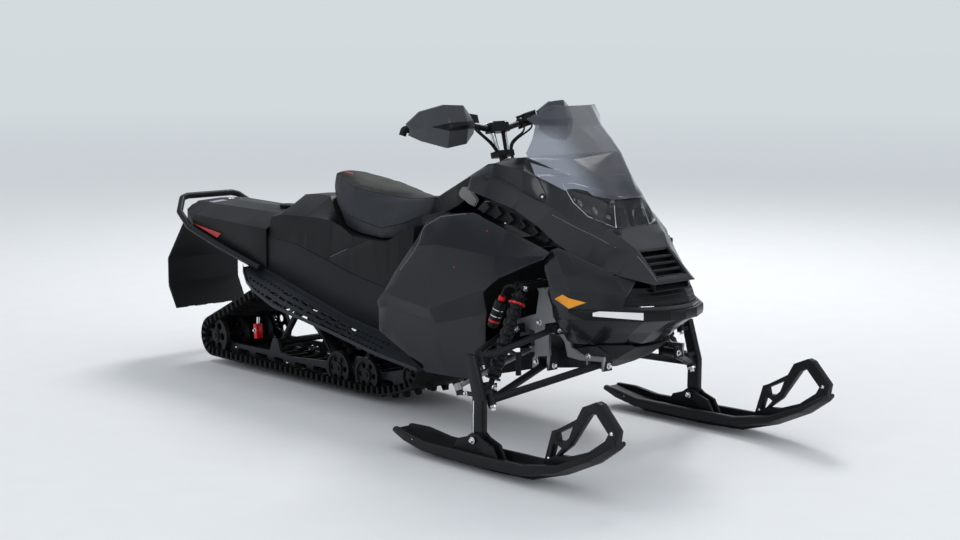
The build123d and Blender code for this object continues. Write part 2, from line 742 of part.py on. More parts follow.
SCREEN_ROWS = (
    # z, centre x, ridge x, ridge half, fold x, fold half, rear x, rear half
    (868.6, 1086.3, 1096.6, 34.9, 1093.2, 55.6, 1011.9, 138.2),
    (903.6, 1084.3, 1092.6, 38.9, 1087.2, 60.6, 986.9, 162.2),
    (970.6, 1064.3, 1054.6, 40.9, 1013.2, 81.6, 861.9, 234.2),
    (1043.6, 1016.3, 1006.6, 42.9, 927.2, 108.6, 805.9, 225.2),
    (1091.6, 964.3, 955.6, 45.9, 863.2, 126.6, 800.9, 190.2),
    (1134.6, 908.3, 894.6, 54.9, 805.2, 145.6, 787.9, 164.2),
    (1158.6, 886.3, 872.6, 60.9, 801.2, 143.6, 765.9, 184.2),
    (1203.6, 844.3, 836.6, 62.9, 817.2, 97.6, 807.9, 112.2),
)
SCREEN_SIDE_VIEW = (
    (1180, 893), (1066, 893), (1040, 860), (700, 860), (700, 1240), (1180, 1240),
)


def make_windshield():
    """Thin faceted screen that leans back from the hood."""
    rings = []
    for z, x0, x1, y1, x2, y2, x3, y3 in SCREEN_ROWS:
        half = [(x0, 0), (x1, -y1), (x2, -y2), (x3, -y3)]
        left = [(x, -y) for x, y in reversed(half) if y != 0]
        line = left + half
        inner = offset_line(line, -GLASS)
        rings.append([(x, y, z) for x, y in line + inner[::-1]])
    screen = skin(rings) & plate_xz(SCREEN_SIDE_VIEW, -300, 300)
    blank = hood_solid(-FIT, 0.0, 2 * FIT)
    pieces = (screen - blank).solids()
    return max(pieces, key=lambda piece: piece.volume)


HOOD_DROP = 60.0
LENS_OUTLINE = (
    # y, z seen from the front, right half
    (12, 850), (60, 866), (88, 880), (115, 898), (146, 914), (187, 930), (174, 896),
    (162, 864), (150, 834), (138, 812), (112, 801), (60, 797), (12, 797),
)
LENS_DEPTH = (900.0, 1140.0)    # x range that the lens prism cuts
VENT_OUTLINE = ((1202, 72), (1290, 76), (1290, -76), (1202, -72))   # x, y in plan


def lens_prism(grow):
    """Prism of the right headlight outline along X, grown by a gap."""
    ring = [(-y, z) for y, z in LENS_OUTLINE]
    if grow:
        ring = offset_line([ring[-1]] + ring + [ring[0]], -grow)[1:-1]
    face = polygon([(LENS_DEPTH[0], y, z) for y, z in ring])
    return Solid.extrude(face, Vector(LENS_DEPTH[1] - LENS_DEPTH[0], 0, 0))


def hood_line(x):
    """Full section line of the hood's outside at a station."""
    row = row_at(HOOD_ROWS, x)
    half = [(0, row[1])] + [(row[i], row[i + 1]) for i in range(2, len(row), 2)]
    return mirrored_line(half)


def hood_solid(inset, back, drop):
    """Closed hood body, its sections moved inwards and rearwards and its foot lowered."""
    rings = []
    for row in HOOD_ROWS:
        line = offset_line(hood_line(row[0]), inset)
        (y0, z0), (y1, z1) = line[0], line[-1]
        ends = [(y1, z1 - drop), (y0, z0 - drop)] if drop else []
        rings.append((row[0] - back, line + ends))
    return solid_x(rings)


def hood_shell():
    shell = hood_solid(0.0, 0.0, 0.0) - hood_solid(PANEL, PANEL, HOOD_DROP)
    return shell - plate_xz(HOOD_REAR_VIEW, -400, 400)


def make_hood(shell):
    """Faceted hood shell with openings for the two lenses and for the vent."""
    hole = lens_prism(FIT)
    hood = shell - hole - mirror_y(hole)
    return hood - plate_xy(VENT_OUTLINE, 560, 800)


def make_headlights(shell):
    """Two swept lenses, flush with the hood."""
    lens = shell & lens_prism(0.0)
    return pair(lens)


# ---------------------------------------------------------------- front fascia
FASCIA_BAND = (502.0, 540.0)    # heights between which the bumper wraps
FASCIA_PLAN = (
    # x, y from the rear of one side to the middle, at the bumper
    (1000, 294), (1096, 300), (1148, 258), (1290, 142), (1334, 62), (1342, 0),
)
COWL_ROWS = (
    # z, (x, y) from the rear of one side to the middle
    (404, ((1010, 215), (1066, 222), (1104, 196), (1176, 110), (1204, 50), (1208, 0))),
    (452, ((1006, 255), (1080, 258), (1126, 226), (1222, 126), (1256, 60), (1262, 0))),
    (502, FASCIA_PLAN),
    (540, FASCIA_PLAN),
    (590, ((990, 300), (1096, 298), (1166, 236), (1234, 164), (1274, 90), (1280, 0))),
    (650, ((980, 300), (1060, 292), (1106, 252), (1188, 180), (1232, 128), (1236, 0))),
    (740, ((970, 300), (1010, 296), (1036, 268), (1090, 206), (1130, 140), (1134, 0))),
)
COWL_SIDE_VIEW = (
    # x, z outline that trims the cowl
    (1012, 406), (1016, 500), (1000, 606), (976, 667), (990, 722), (1024, 738), (1048, 727),
    (1126, 686), (1197, 655), (1236, 645), (1236, 550), (1400, 550), (1400, 406),
)


def plan_line(half):
    """Full (x, y) polyline from the left rear round the front to the right rear."""
    left = [(x, y) for x, y in half]
    right = [(x, -y) for x, y in reversed(half) if y != 0]
    return left + right


def shell_z(rows, thickness):
    """Thick shell through plan polylines at rising heights."""
    rings = []
    for z, half in rows:
        line = plan_line(half)
        inner = offset_line(line, -thickness)
        rings.append([(x, y, z) for x, y in line + inner[::-1]])
    return skin(rings)


def make_lower_cowl():
    """Wrap-round fascia below the hood, open at the top for the grille."""
    cowl = shell_z(COWL_ROWS, PANEL) & plate_xz(COWL_SIDE_VIEW, -400, 400)
    pieces = (cowl - hood_solid(-FIT, 0.0, 2 * FIT)).solids()
    return max(pieces, key=lambda piece: piece.volume)


BUMPER_PROUD = 14.0


def make_front_bumper():
    """Band that wraps the fascia from one side to the other, tapered at its tips."""
    line = plan_line(FASCIA_PLAN[1:])
    inner = offset_line(line, FIT)
    outer = offset_line(line, BUMPER_PROUD)
    outer[0] = (inner[0][0] - 2, inner[0][1] + 3)
    outer[-1] = (inner[-1][0] - 2, inner[-1][1] - 3)
    bottom, top = FASCIA_BAND
    rings = [[(x, y, z) for x, y in outer + inner[::-1]] for z in (bottom + 2, top - 2)]
    (x0, y0), (x1, y1) = FASCIA_PLAN[1:3]
    wedge = [(x0 - 20, bottom - 10), (x1, bottom - 10), (x1, bottom), (x0 - 20, top - 4)]
    return skin(rings) - plate_xz(wedge, -400, 400)


GRILLE_SLATS = 5
GRILLE_SPAN = (554.0, 606.0)
GRILLE_SIDE_X = 1196.0         # how far round the sides the grille's wall reaches


def cowl_line(z):
    """Plan line of the fascia's outside at a height."""
    for (za, low), (zb, high) in zip(COWL_ROWS, COWL_ROWS[1:]):
        if za <= z <= zb:
            part = (z - za) / (zb - za)
            return plan_line([between(a, b, part) for a, b in zip(low, high)])
    return plan_line(COWL_ROWS[-1][1])


def make_front_grilles():
    """Slatted inserts: the mouth above the bumper and the vent in the hood."""
    low, high = GRILLE_SPAN
    pitch = (high - low) / (GRILLE_SLATS - 1)
    mouth_view = plate_xz([(1237, 500), (1400, 500), (1400, 700), (1237, 700)], -400, 400)
    slats = []
    for i in range(GRILLE_SLATS):
        z = low + i * pitch
        line = offset_line(cowl_line(z), -2.0)
        back = offset_line(cowl_line(z), -20.0)
        slats.append(plate_xy(line + back[::-1], z - 2, z + 2) & mouth_view)
    rings = []
    for z in (low - 2, COWL_ROWS[4][0], high + 2):
        line = offset_line(cowl_line(z), -PANEL - FIT)
        back = offset_line(cowl_line(z), -PANEL - FIT - 4)
        rings.append([(x, y, z) for x, y in line + back[::-1]])
    reach = [(GRILLE_SIDE_X, 500), (1400, 500), (1400, 700), (GRILLE_SIDE_X, 700)]
    mouth = fuse([skin(rings) & plate_xz(reach, -400, 400)] + slats)
    vent = []
    x0, x1 = VENT_OUTLINE[0][0] + 1, VENT_OUTLINE[1][0] - 1
    nose, tip = HOOD_ROWS[-2], HOOD_ROWS[-1]
    slope = (tip[1] - nose[1]) / (tip[0] - nose[0])
    for i in range(4):
        x = x0 + 12 + i * (x1 - x0 - 24) / 3
        z = nose[1] + slope * (x - nose[0]) - 14
        vent.append(plate_xz([(x - 11, z - 3), (x - 11, z + 4), (x + 11, z + 4), (x + 11, z - 3)],
                             -70, 70))
    for y in (-71.7, 68.7):
        z0 = nose[1] + slope * (x0 - nose[0])
        z1 = nose[1] + slope * (x1 - nose[0])
        vent.append(plate_xz([(x0, z0 - 26), (x0, z0 - 4), (x1, z1 - 4), (x1, z1 - 26)], y, y + 3))
    return group([mouth, fuse(vent)])


# ---------------------------------------------------------------- belly and side panels
BELLY_ROWS = (
    # x, centre z, floor half, floor z, edge half, edge z
    (330, 212, 190, 212, 286, 226),
    (480, 206, 190, 207, 290, 228),
    (620, 224, 150, 227, 186, 290),
    (760, 258, 112, 262, 128, 330),
    (900, 276, 96, 282, 112, 350),
    (1040, 296, 92, 304, 150, 384),
    (1120, 330, 92, 342, 186, 400),
    (1196, 388, 78, 392, 100, 402),
)


def make_belly_pan():
    """Pan under the engine and the front bulkhead."""
    rings = []
    for x, centre, y1, z1, y2, z2 in BELLY_ROWS:
        rings.append((x, mirrored_line([(0, centre), (y1, z1), (y2, z2)])))
    return shell_x(rings, -PANEL)


SIDE_ROWS = (
    # x, top half, top z, shoulder half, shoulder z, crease half, crease z, under half, under z,
    # foot half, foot z
    (90, 286, 800, 330, 640, 366, 474, 346, 420, 300, 200),
    (200, 286, 812, 336, 660, 372, 494, 348, 440, 300, 200),
    (462, 290, 836, 344, 700, 376, 470, 340, 410, 306, 200),
    (786, 290, 816, 344, 690, 372, 588, 336, 500, 306, 200),
    (950, 292, 760, 334, 706, 350, 660, 330, 600, 300, 300),
    (1040, 296, 736, 316, 714, 322, 700, 312, 680, 296, 500),
)
SIDE_VIEW = (
    # x, z outline that trims a side panel
    (120, 339), (145, 458), (200, 500), (243, 575), (343, 705), (372, 773), (470, 808),
    (610, 824), (850, 766), (955, 740), (1015, 722), (1000, 700), (817, 618), (742, 560),
    (716, 430), (700, 300), (640, 226), (365, 213),
)


def side_line(x, side):
    """Section line of one side panel's outside at a station, from its top down."""
    numbers = row_at(SIDE_ROWS, x)[1:]
    return [(side * numbers[i], numbers[i + 1]) for i in range(0, len(numbers), 2)]


def make_side_panel(side):
    """Creased panel beside the engine, trimmed to its outline."""
    shell = shell_x([(row[0], side_line(row[0], side)) for row in SIDE_ROWS], -side * PANEL)
    return shell & plate_xz(SIDE_VIEW, -400, 400)


LOUVRE_VIEW = (
    # x, z outline of the louvre bed
    (600, 834), (640, 868), (740, 866), (900, 806), (1016, 744), (1030, 730), (960, 745),
    (850, 772),
)
LOUVRE_COUNT = 6


def make_side_louvres():
    """Bed behind the gap of hood and side panel, with chevron ribs that lean back."""
    bed = plate_xz(LOUVRE_VIEW, 262, 267)
    ribs = []
    for i in range(LOUVRE_COUNT):
        x = 640 + i * 62
        low = 836 - (x - 600) * 0.245
        high = low + 46 - i * 3
        ribs.append(plate_xz([(x, low), (x + 30, (low + high) / 2), (x + 8, high),
                              (x + 20, high), (x + 44, (low + high) / 2), (x + 14, low)],
                             266, 284))
    trimmed = [rib & plate_xz(LOUVRE_VIEW, 200, 300) for rib in ribs]
    return pair(fuse([bed] + [r for r in trimmed if r.solids()]))


CONSOLE_ROWS = (
    # x, centre, inner half, inner z, edge half, edge z, foot z
    (150.3, 838, 50, 826, 84, 806, 742),
    (200, 868, 56, 852, 112, 824, 762),
    (262, 890, 66, 878, 150, 848, 780),
    (340, 922, 84, 898, 188, 872, 800),
    (432, 974, 120, 948, 218, 905, 830),
    (530, 992, 150, 984, 232, 945, 880),
)
CONSOLE_STAND = (150.3, 310.0, 140.0)       # x from, x to, half width


def make_console():
    """Dash and tank cover between the seat and the hood, bored for the steering post."""
    rings = []
    for x, centre, y1, z1, y2, z2, foot in CONSOLE_ROWS:
        left = [(y2 - 12, foot), (y2, z2), (y1, z1), (12, centre)]
        right = [(-y, z) for y, z in reversed(left)]
        rings.append((x, left + right))
    body = solid_x(rings)
    x0, x1, half = CONSOLE_STAND
    ground = tunnel_top(x0) + FIT
    low = [(x0, ground), (x1, ground), (x1, 800), (x0, 760)]
    body = body + plate_xz(low, -half, half)
    return body - post_rod(POST_R + FIT, -500, 40)


POST_R = 16.0
POST_BELOW = 300.0


def post_rod(radius, below, above):
    """Cylinder along the steering post's line."""
    top = Vector(STEER_TOP[0], 0, STEER_TOP[1])
    up = lean(STEER_LEAN)
    return rod(top + up * below, top + up * above, radius)


# ---------------------------------------------------------------- bulkhead and engine
GEARBOX_TOP = 436.0
GEARBOX_REAR = 690.0
ENGINE = ((400, 740), (-190, 190), (GEARBOX_TOP + FIT, 740))
BRACKET_VIEW = (
    # x, z outline of one cast side bracket
    (866, 600), (896, 600), (904, 580), (898, 560), (930, 500), (990, 452), (1004, 430),
    (1018, 384), (1066, 366), (1172, 372), (1172, 356), (1060, 346), (1000, 350), (984, 400),
    (962, 420), (904, 420), (910, 340), (852, 330), (850, 286), (826, 286), (826, 318),
    (836, 330), (836, 420), (720, 424), (720, 440), (842, 480), (856, 560), (846, 570),
    (846, 606), (890, 606),
)
BRACKET_Y = (196.0, 206.0)
LOWER_GAP = 32.0                # half length of a lower pivot tube
UPPER_GAP = 20.0
CLEVIS_THICK = 8.0


def clevis(x, y, z, gap, y_from, tops):
    """Two cheeks across a pivot and the pin through them, front and rear up to a height."""
    low = z - 16
    y0, y1 = min(y - 16, y_from), max(y + 16, y_from)
    cheeks = []
    for way, z_top in zip((1, -1), tops):
        near = x + way * (gap + FIT)
        far = near + way * CLEVIS_THICK
        box = Box(CLEVIS_THICK, y1 - y0, z_top - low)
        cheeks.append(box.moved(Location(((near + far) / 2, (y0 + y1) / 2, (low + z_top) / 2))))
    reach = gap + CLEVIS_THICK
    return cheeks + [rod((x - reach, y, z), (x + reach, y, z), 6.0 - FIT)]


FORMER_X = (905.0, 911.0)
POST_Y = 140.0


def inner_section(line, x_list, reach):
    """Closed rings just inside a shell's sections at some stations."""
    return solid_x([(x, offset_line(line(x), reach)) for x in x_list])


def make_former():
    """Plate rib that carries the hood and both side panels, on two posts."""
    hood = inner_section(lambda x: hood_line(x + PANEL), FORMER_X, PANEL + FIT)
    x = FORMER_X[0]
    width = FORMER_X[1] - x
    parts = [hood & plate_xz([(x - 5, 824), (x + 20, 824), (x + 20, 1200), (x - 5, 1200)],
                             -400, 400)]
    inner = plate_xz([(x - 5, 850), (x + 20, 850), (x + 20, 920), (x - 5, 920)], -150, 150)
    parts = [parts[0] - inner]
    for side in (1, -1):
        wing = inner_section(lambda x: side_line(x, side), FORMER_X, -side * (PANEL + FIT))
        wing = wing & plate_xz([(x - 5, 662), (x + 20, 662), (x + 20, 748), (x - 5, 748)],
                               -400, 400)
        parts.append(wing)
        arm = Box(width, 170, 40).moved(Location((x + width / 2, side * 215, 706)))
        parts.append(arm)
        parts.append(Box(width, 40, 420).moved(Location((x + width / 2, side * POST_Y, 640))))
        tab = Box(width, 122 - FIT, 20)
        parts.append(tab.moved(Location((x + width / 2, side * (201 - FIT / 2), 780))))
    return parts


def make_front_frame():
    """Cast brackets on each side of a box, with a clevis for every inner pivot."""
    bracket = plate_xz(BRACKET_VIEW, BRACKET_Y[0], BRACKET_Y[1])
    eye = rod((881, 190, 588), (881, 214, 588), 15)
    pieces = [bracket, eye]
    for (x, y, z), tops in zip(LOWER_PIVOTS, ((362, 362), (362, 318))):
        pieces += clevis(x, y, z, LOWER_GAP, BRACKET_Y[1], tops)
    for x, y, z in UPPER_PIVOTS:
        pieces += clevis(x, y, z, UPPER_GAP, BRACKET_Y[0], (z + 16, z + 16))
    x, y, z = SHOCK_HEAD
    for way in (1, -1):
        cheek = Box(6, y + 16 - BRACKET_Y[0], 24)
        place = (x + way * 16.5, (y + 16 + BRACKET_Y[0]) / 2, z + 6)
        pieces.append(cheek.moved(Location(place)))
    pieces.append(rod((x - 18, y, z), (x + 18, y, z), 6.0 - FIT))
    side = fuse(pieces) - rod((881, 180, 588), (881, 230, 588), 7)
    box = Box(180, 2 * BRACKET_Y[0] + 2, 20).moved(Location((880, 0, 430)))
    block = Box(110, 180, 120).moved(Location((GEARBOX_REAR + 55, 0, GEARBOX_TOP - 60)))
    shelf = Box(90, 200, 20).moved(Location((800, 0, 430)))
    wall = TUNNEL_ROWS[-1][0] + SHEET + FIT
    tubes = [rod((wall + 4.5, s * 150, 290), (700, s * 80, 340), 16) for s in (1, -1)]
    feet = [Box(5, 70, 70).moved(Location((wall + 2.5, s * 150, 290))) for s in (1, -1)]
    frame = fuse([box, side, mirror_y(side), shelf, block] + tubes + feet)
    return fuse([frame] + make_former())


def make_engine_block():
    """Plain block at the engine's place."""
    (x0, x1), (y0, y1), (z0, z1) = ENGINE
    return Box(x1 - x0, y1 - y0, z1 - z0).moved(
        Location(((x0 + x1) / 2, (y0 + y1) / 2, (z0 + z1) / 2)))


# ---------------------------------------------------------------- front suspension
def kingpin_x(z):
    """Kingpin line's x at a height."""
    return LOWER_BALL[0] - (z - LOWER_BALL[1]) * math.tan(math.radians(CASTER))


KINGPIN_UP = lean(CASTER)
LOWER_PIVOTS = ((1130.0, 178.0, 338.0), (866.0, 178.0, 302.0))     # x, y, z, front and rear
UPPER_PIVOTS = ((970.0, 244.0, 448.0), (756.0, 244.0, 424.0))
PIVOT_R = 15.0


def ball_point(z):
    return Vector(kingpin_x(z), KINGPIN_Y, z)


def wishbone(z, pivots, tube, gap, spread):
    """Left wishbone: two tubes from the ball boss, spread apart, to the inner pivots."""
    centre = ball_point(z)
    half = KINGPIN_UP * (BALL_BOSS_LENGTH / 2)
    parts = [rod(centre - half, centre + half, BALL_BOSS_R)]
    for (x, y, pz), way in zip(pivots, (1, -1)):
        if spread:
            elbow = Vector(centre.X + way * spread, centre.Y - 24, centre.Z + 6)
            parts.append(rod(centre, elbow, tube))
            parts.append(Sphere(tube).moved(Location(elbow)))
        else:
            elbow = centre
        parts.append(rod(elbow, (x, y, pz), tube))
        parts.append(rod((x - gap, y, pz), (x + gap, y, pz), PIVOT_R))
    arm = fuse(parts)
    bore = rod(centre - half * 2, centre + half * 2, PIN_R + FIT)
    arm = arm - bore
    for x, y, pz in pivots:
        arm = arm - rod((x - gap - 5, y, pz), (x + gap + 5, y, pz), 6)
    return arm


def make_upper_arms():
    return pair(wishbone(UPPER_BALL_Z, UPPER_PIVOTS, 11.0, UPPER_GAP, 34.0))


SHOCK_FOOT = (890.0, KINGPIN_Y - 38.0, 262.0)
SHOCK_HEAD = (890.0, 322.0, 590.0)


def make_lower_arms():
    """Lower wishbones with the ears that hold the dampers."""
    arm = wishbone(LOWER_BALL[1], LOWER_PIVOTS, ARM_TUBE_R, LOWER_GAP, 0)
    x, y, z = SHOCK_FOOT
    ears = [Box(6, 32, 36).moved(Location((x + way * 16.5, y, z - 3))) for way in (1, -1)]
    floor = Box(60, 32, 8).moved(Location((x + 9, y, z - 20)))
    pin = rod((x - 18, y, z), (x + 18, y, z), 6.0 - FIT)
    return pair(fuse([arm, floor] + ears + [pin]))


def make_front_shocks():
    """Coil-over dampers with a remote reservoir on each side."""
    across = (1, 0, 0)
    body = damper(SHOCK_FOOT, SHOCK_HEAD, across, 19.0, 25.0, 6.0, 8, 22.0, 15.0, 6.0)
    return pair(body)


SWAY_R = 8.0
SWAY_SHARE = 76 / 165          # how far out along a lower arm the link stands
SWAY_Y = LOWER_PIVOTS[1][1] + (KINGPIN_Y - LOWER_PIVOTS[1][1]) * SWAY_SHARE
SWAY_PATH = [(892, SWAY_Y, 350), (GEARBOX_REAR - SWAY_R - FIT, 262, 362)]
SWAY_LINK_FOOT = 284.0


def make_sway_bar():
    """Cross bar behind the lower arms with a link at each end."""
    bar = bent_tube(SWAY_PATH + [(x, -y, z) for x, y, z in reversed(SWAY_PATH)], SWAY_R, 20)
    x, y, z = SWAY_PATH[0]
    links = [rod((x - SWAY_R, side * y, z + 14), (x - SWAY_R, side * y, SWAY_LINK_FOOT), 10)
             for side in (1, -1)]
    return fuse([bar] + links)


def make_spindle(side):
    """Leg with two ears on the kingpin line, a steering arm and the fork of the ski."""
    ears = []
    pins = []
    for z, way in ((LOWER_BALL[1], 1), (UPPER_BALL_Z, -1)):
        centre = ball_point(z)
        near = centre + KINGPIN_UP * (way * (BALL_BOSS_LENGTH / 2 + FIT))
        far = near + KINGPIN_UP * (way * 14)
        ears.append(rod(near, far, 15))
        mid = near + KINGPIN_UP * (way * 7)
        ear_box = Box(26, LEG_Y - KINGPIN_Y, 14)
        ear_box = ear_box.rotate(Axis.Y, -CASTER).moved(
            Location((mid.X, (LEG_Y + KINGPIN_Y) / 2, mid.Z)))
        ears.append(ear_box)
        pins.append(rod(centre - KINGPIN_UP * (way * 18), far, PIN_R))
    x_top = kingpin_x(UPPER_BALL_Z - 10)
    leg_view = [(x_top - 20, 384), (x_top + 18, 384), (kingpin_x(230) + 14, 236),
                (SKI_BOLT[0] + 26, 128), (SKI_BOLT[0] + 16, 84), (SKI_BOLT[0] - 16, 84),
                (SKI_BOLT[0] - 24, 128), (kingpin_x(230) - 34, 240)]
    leg = plate_xz(leg_view, LEG_Y - LEG_THICK / 2, LEG_Y + LEG_THICK / 2)
    end = Vector(TIE_ROD_OUTER[0], TIE_ROD_Y, TIE_ROD_OUTER[1])
    boss_top = end - KINGPIN_UP * (TIE_EYE / 2 + FIT)
    boss = rod(boss_top - KINGPIN_UP * 16, boss_top, 13)
    stud = rod(boss_top, end + KINGPIN_UP * (TIE_EYE / 2 + 6), 6)
    tip = boss_top - KINGPIN_UP * 8
    arm = rod((kingpin_x(250) - 10, LEG_Y - 4, 250), tuple(tip), 8)
    body = fuse([leg] + ears + pins + [arm, boss, stud])
    body = body - rod((SKI_BOLT[0], LEG_Y - 30, SKI_BOLT[1]), (SKI_BOLT[0], LEG_Y + 30, SKI_BOLT[1]),
                      8 + FIT)
    return body if side > 0 else mirror_y(body)


SKI_ROWS = (
    # x, sole z, edge z, half width, rib z
    (512, 56, 62, 50, 76),
    (590, 26, 44, 66, 74),
    (700, 12, 26, 72, 58),
    (1000, 12, 26, 72, 62),
    (1180, 20, 34, 72, 66),
    (1340, 58, 70, 68, 96),
    (1480, 122, 134, 54, 154),
    (1556, 176, 186, 34, 200),
)
KEEL_HALF = 9.0
LOOP_OUTER = ((1236, 74), (1274, 190), (1300, 200), (1384, 246), (1410, 290), (1470, 316),
              (1492, 310), (1556, 246), (1565, 236), (1556, 186), (1470, 130), (1350, 84))
LOOP_HOLE = ((1300, 112), (1354, 152), (1436, 264), (1466, 280), (1524, 222), (1510, 198),
             (1440, 150), (1345, 116))
LOOP_HALF = 13.0
SADDLE_HALF = 11.0


def make_ski(side):
    """Ski with a keel, raised edges, a front loop and the saddle of the spindle."""
    y0 = LEG_Y
    rings = []
    for x, sole, edge, half, rib in SKI_ROWS:
        keel = sole - 12 if 700 <= x <= 1180 else sole - 3
        left = [(KEEL_HALF, keel), (KEEL_HALF + 8, sole), (half, edge), (half, rib - 6),
                (half - 8, rib), (half - 22, rib), (half - 26, edge + 8)]
        ring = [(SKI_STANCE_HALF + y, z) for y, z in left]
        ring += [(SKI_STANCE_HALF - y, z) for y, z in reversed(left)]
        rings.append((x, ring))
    ski = solid_x(rings)
    loop = plate_xz(LOOP_OUTER, SKI_STANCE_HALF - LOOP_HALF, SKI_STANCE_HALF + LOOP_HALF)
    hole = plate_xz(LOOP_HOLE, SKI_STANCE_HALF - 40, SKI_STANCE_HALF + 40)
    saddle_view = [(800, 28), (840, 92), (890, 108), (910, 122), (940, 122), (960, 108),
                   (1010, 92), (1050, 28)]
    cheeks = []
    for way in (1, -1):
        y = y0 + way * (LEG_THICK / 2 + 1.0)
        cheeks.append(plate_xz(saddle_view, y, y + way * SADDLE_HALF))
    bolt = rod((SKI_BOLT[0], y0 - LEG_THICK / 2 - 20, SKI_BOLT[1]),
               (SKI_BOLT[0], y0 + LEG_THICK / 2 + 20, SKI_BOLT[1]), 8)
    ski = fuse([ski, loop] + cheeks + [bolt]) - hole
    return ski if side > 0 else mirror_y(ski)


def make_tie_rod(side):
    """Rod from the spindle's steering arm to the steering gear in the bulkhead."""
    outer = Vector(TIE_ROD_OUTER[0], TIE_ROD_Y, TIE_ROD_OUTER[1])
    inner = Vector(TIE_ROD_OUTER[0], TIE_ROD_INNER_Y, TIE_ROD_OUTER[1] + TIE_ROD_RISE)
    eye = rod(outer - KINGPIN_UP * (TIE_EYE / 2), outer + KINGPIN_UP * (TIE_EYE / 2), 14)
    bar = rod(outer, inner, TIE_ROD_R)
    end = rod(inner - Vector(0, 0, 10), inner + Vector(0, 0, 10), 12)
    body = fuse([eye, bar, end]) - rod(outer - KINGPIN_UP * 30, outer + KINGPIN_UP * 40, 6 + FIT)
    return body if side > 0 else mirror_y(body)


# ---------------------------------------------------------------- handlebar
BAR_R = 11.0
GRIP_R = 16.0
BAR_PATH = (
    # x, y, z of the bends on one side
    (415, 60, 1103), (405, 170, 1126), (330, 360, 1112),
)


def make_handlebar():
    """Bar with grips, its risers, clamp and the post that turns in the console."""
    left = [(x, y, z) for x, y, z in reversed(BAR_PATH)]
    right = [(x, -y, z) for x, y, z in BAR_PATH]
    bar = bent_tube(left + right, BAR_R, 40)
    up = lean(STEER_LEAN)
    top = Vector(STEER_TOP[0], 0, STEER_TOP[1])
    clamp = Box(40, 90, 34).rotate(Axis.Y, -STEER_LEAN).moved(Location(tuple(top)))
    risers = [rod(top + Vector(0, y, 0) - up * 10, top + Vector(0, y * 0.8, 0) - up * 98, 9)
              for y in (28, -28)]
    foot = Box(44, 80, 22).rotate(Axis.Y, -STEER_LEAN).moved(Location(tuple(top - up * 100)))
    post = post_rod(POST_R, -POST_BELOW, -98)
    grips = []
    for s in (1, -1):
        a = Vector(BAR_PATH[2][0], s * BAR_PATH[2][1], BAR_PATH[2][2])
        b = Vector(BAR_PATH[1][0], s * BAR_PATH[1][1], BAR_PATH[1][2])
        grips.append(rod(a, a + (b - a) * 0.68, GRIP_R))
    return fuse([bar, clamp] + risers + [foot, post] + grips)


GUARD_ROWS = (
    # station along y, x centre, low z, high z, depth
    (172, 470, 1092, 1160, 12),
    (220, 486, 1058, 1196, 12),
    (300, 476, 1046, 1200, 12),
    (372, 430, 1070, 1176, 12),
    (392, 380, 1090, 1130, 12),
)


def make_handguard(side):
    """Curved shield in front of a grip, on a bracket from the bar."""
    rings = []
    for y, x, low, high, depth in GUARD_ROWS:
        middle = (low + high) / 2
        rings.append([(x - depth, y, low), (x + 4, y, low), (x + 14, y, middle), (x - 14, y, high),
                      (x - 14 - depth, y, high), (x + 14 - depth - 4, y, middle)])
    guard = skin(rings)
    stay = rod((470, 178, 1126), (415, 150, 1122), 7)
    body = guard + stay
    bar = rod(Vector(415, 60, 1103), Vector(405, 170, 1126), BAR_R + FIT)
    body = body - bar
    return body if side > 0 else mirror_y(body)


REFLECTOR_VIEW = ((1030, 566), (1068, 585), (1142, 562), (1100, 541))
REFLECTOR_THICK = 5.0


def make_side_reflectors():
    """Lens on each side of the fascia, just above the bumper's tip."""
    rings = []
    for z, half in COWL_ROWS[3:5]:
        line = plan_line(half)
        near = offset_line(line, FIT)
        far = offset_line(line, FIT + REFLECTOR_THICK)
        rings.append([(x, y, z) for x, y in far + near[::-1]])
    band = skin(rings)
    return pair(band & plate_xz(REFLECTOR_VIEW, 200, 400))


def build():
    shell = hood_shell()
    stand = pedestal()
    parts = {
        "tunnel": make_tunnel,
        "tail_cover": make_tail_cover,
        "tail_lights": make_tail_lights,
        "rear_bumper": make_rear_bumper,
        "snow_flap": make_snow_flap,
        "seat_cushion": make_seat_cushion,
        "windshield": make_windshield,
        "front_grilles": make_front_grilles,
        "lower_cowl": make_lower_cowl,
        "front_bumper": make_front_bumper,
        "belly_pan": make_belly_pan,
        "side_louvres": make_side_louvres,
        "console": make_console,
        "front_frame": make_front_frame,
        "engine_block": make_engine_block,
        "upper_arms": make_upper_arms,
        "lower_arms": make_lower_arms,
        "front_shocks": make_front_shocks,
        "sway_bar": make_sway_bar,
        "track": make_track,
        "slide_rails": make_slide_rails,
        "track_wheels": make_track_wheels,
        "skid_arms": make_skid_arms,
        "skid_shocks": make_skid_shocks,
        "drive_axle": make_drive_axle,
        "side_reflectors": make_side_reflectors,
        "handlebar": make_handlebar,
    }
    sided = {
        "running_board": make_running_board,
        "side_panel": make_side_panel,
        "spindle": make_spindle,
        "ski": make_ski,
        "tie_rod": make_tie_rod,
        "handguard": make_handguard,
    }
    shapes = {
        "hood": make_hood(shell),
        "headlights": make_headlights(shell),
        "seat_base": make_seat_base(stand),
        "cargo_cover": make_cargo_cover(stand),
    }
    for name, maker in parts.items():
        shapes[name] = maker()
    for stem, maker in sided.items():
        for word, side in SIDES.items():
            shapes[f"{stem}_{word}"] = maker(side)
    return shapes


os.makedirs("parts", exist_ok=True)
for node, shape in build().items():
    export_step(shape, f"parts/{node}.step")
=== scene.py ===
"""Snowmobile: finishes, fabric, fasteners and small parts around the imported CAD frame."""

import json
import math

import bmesh
import bpy
from mathutils import Matrix, Vector
from mathutils.bvhtree import BVHTree


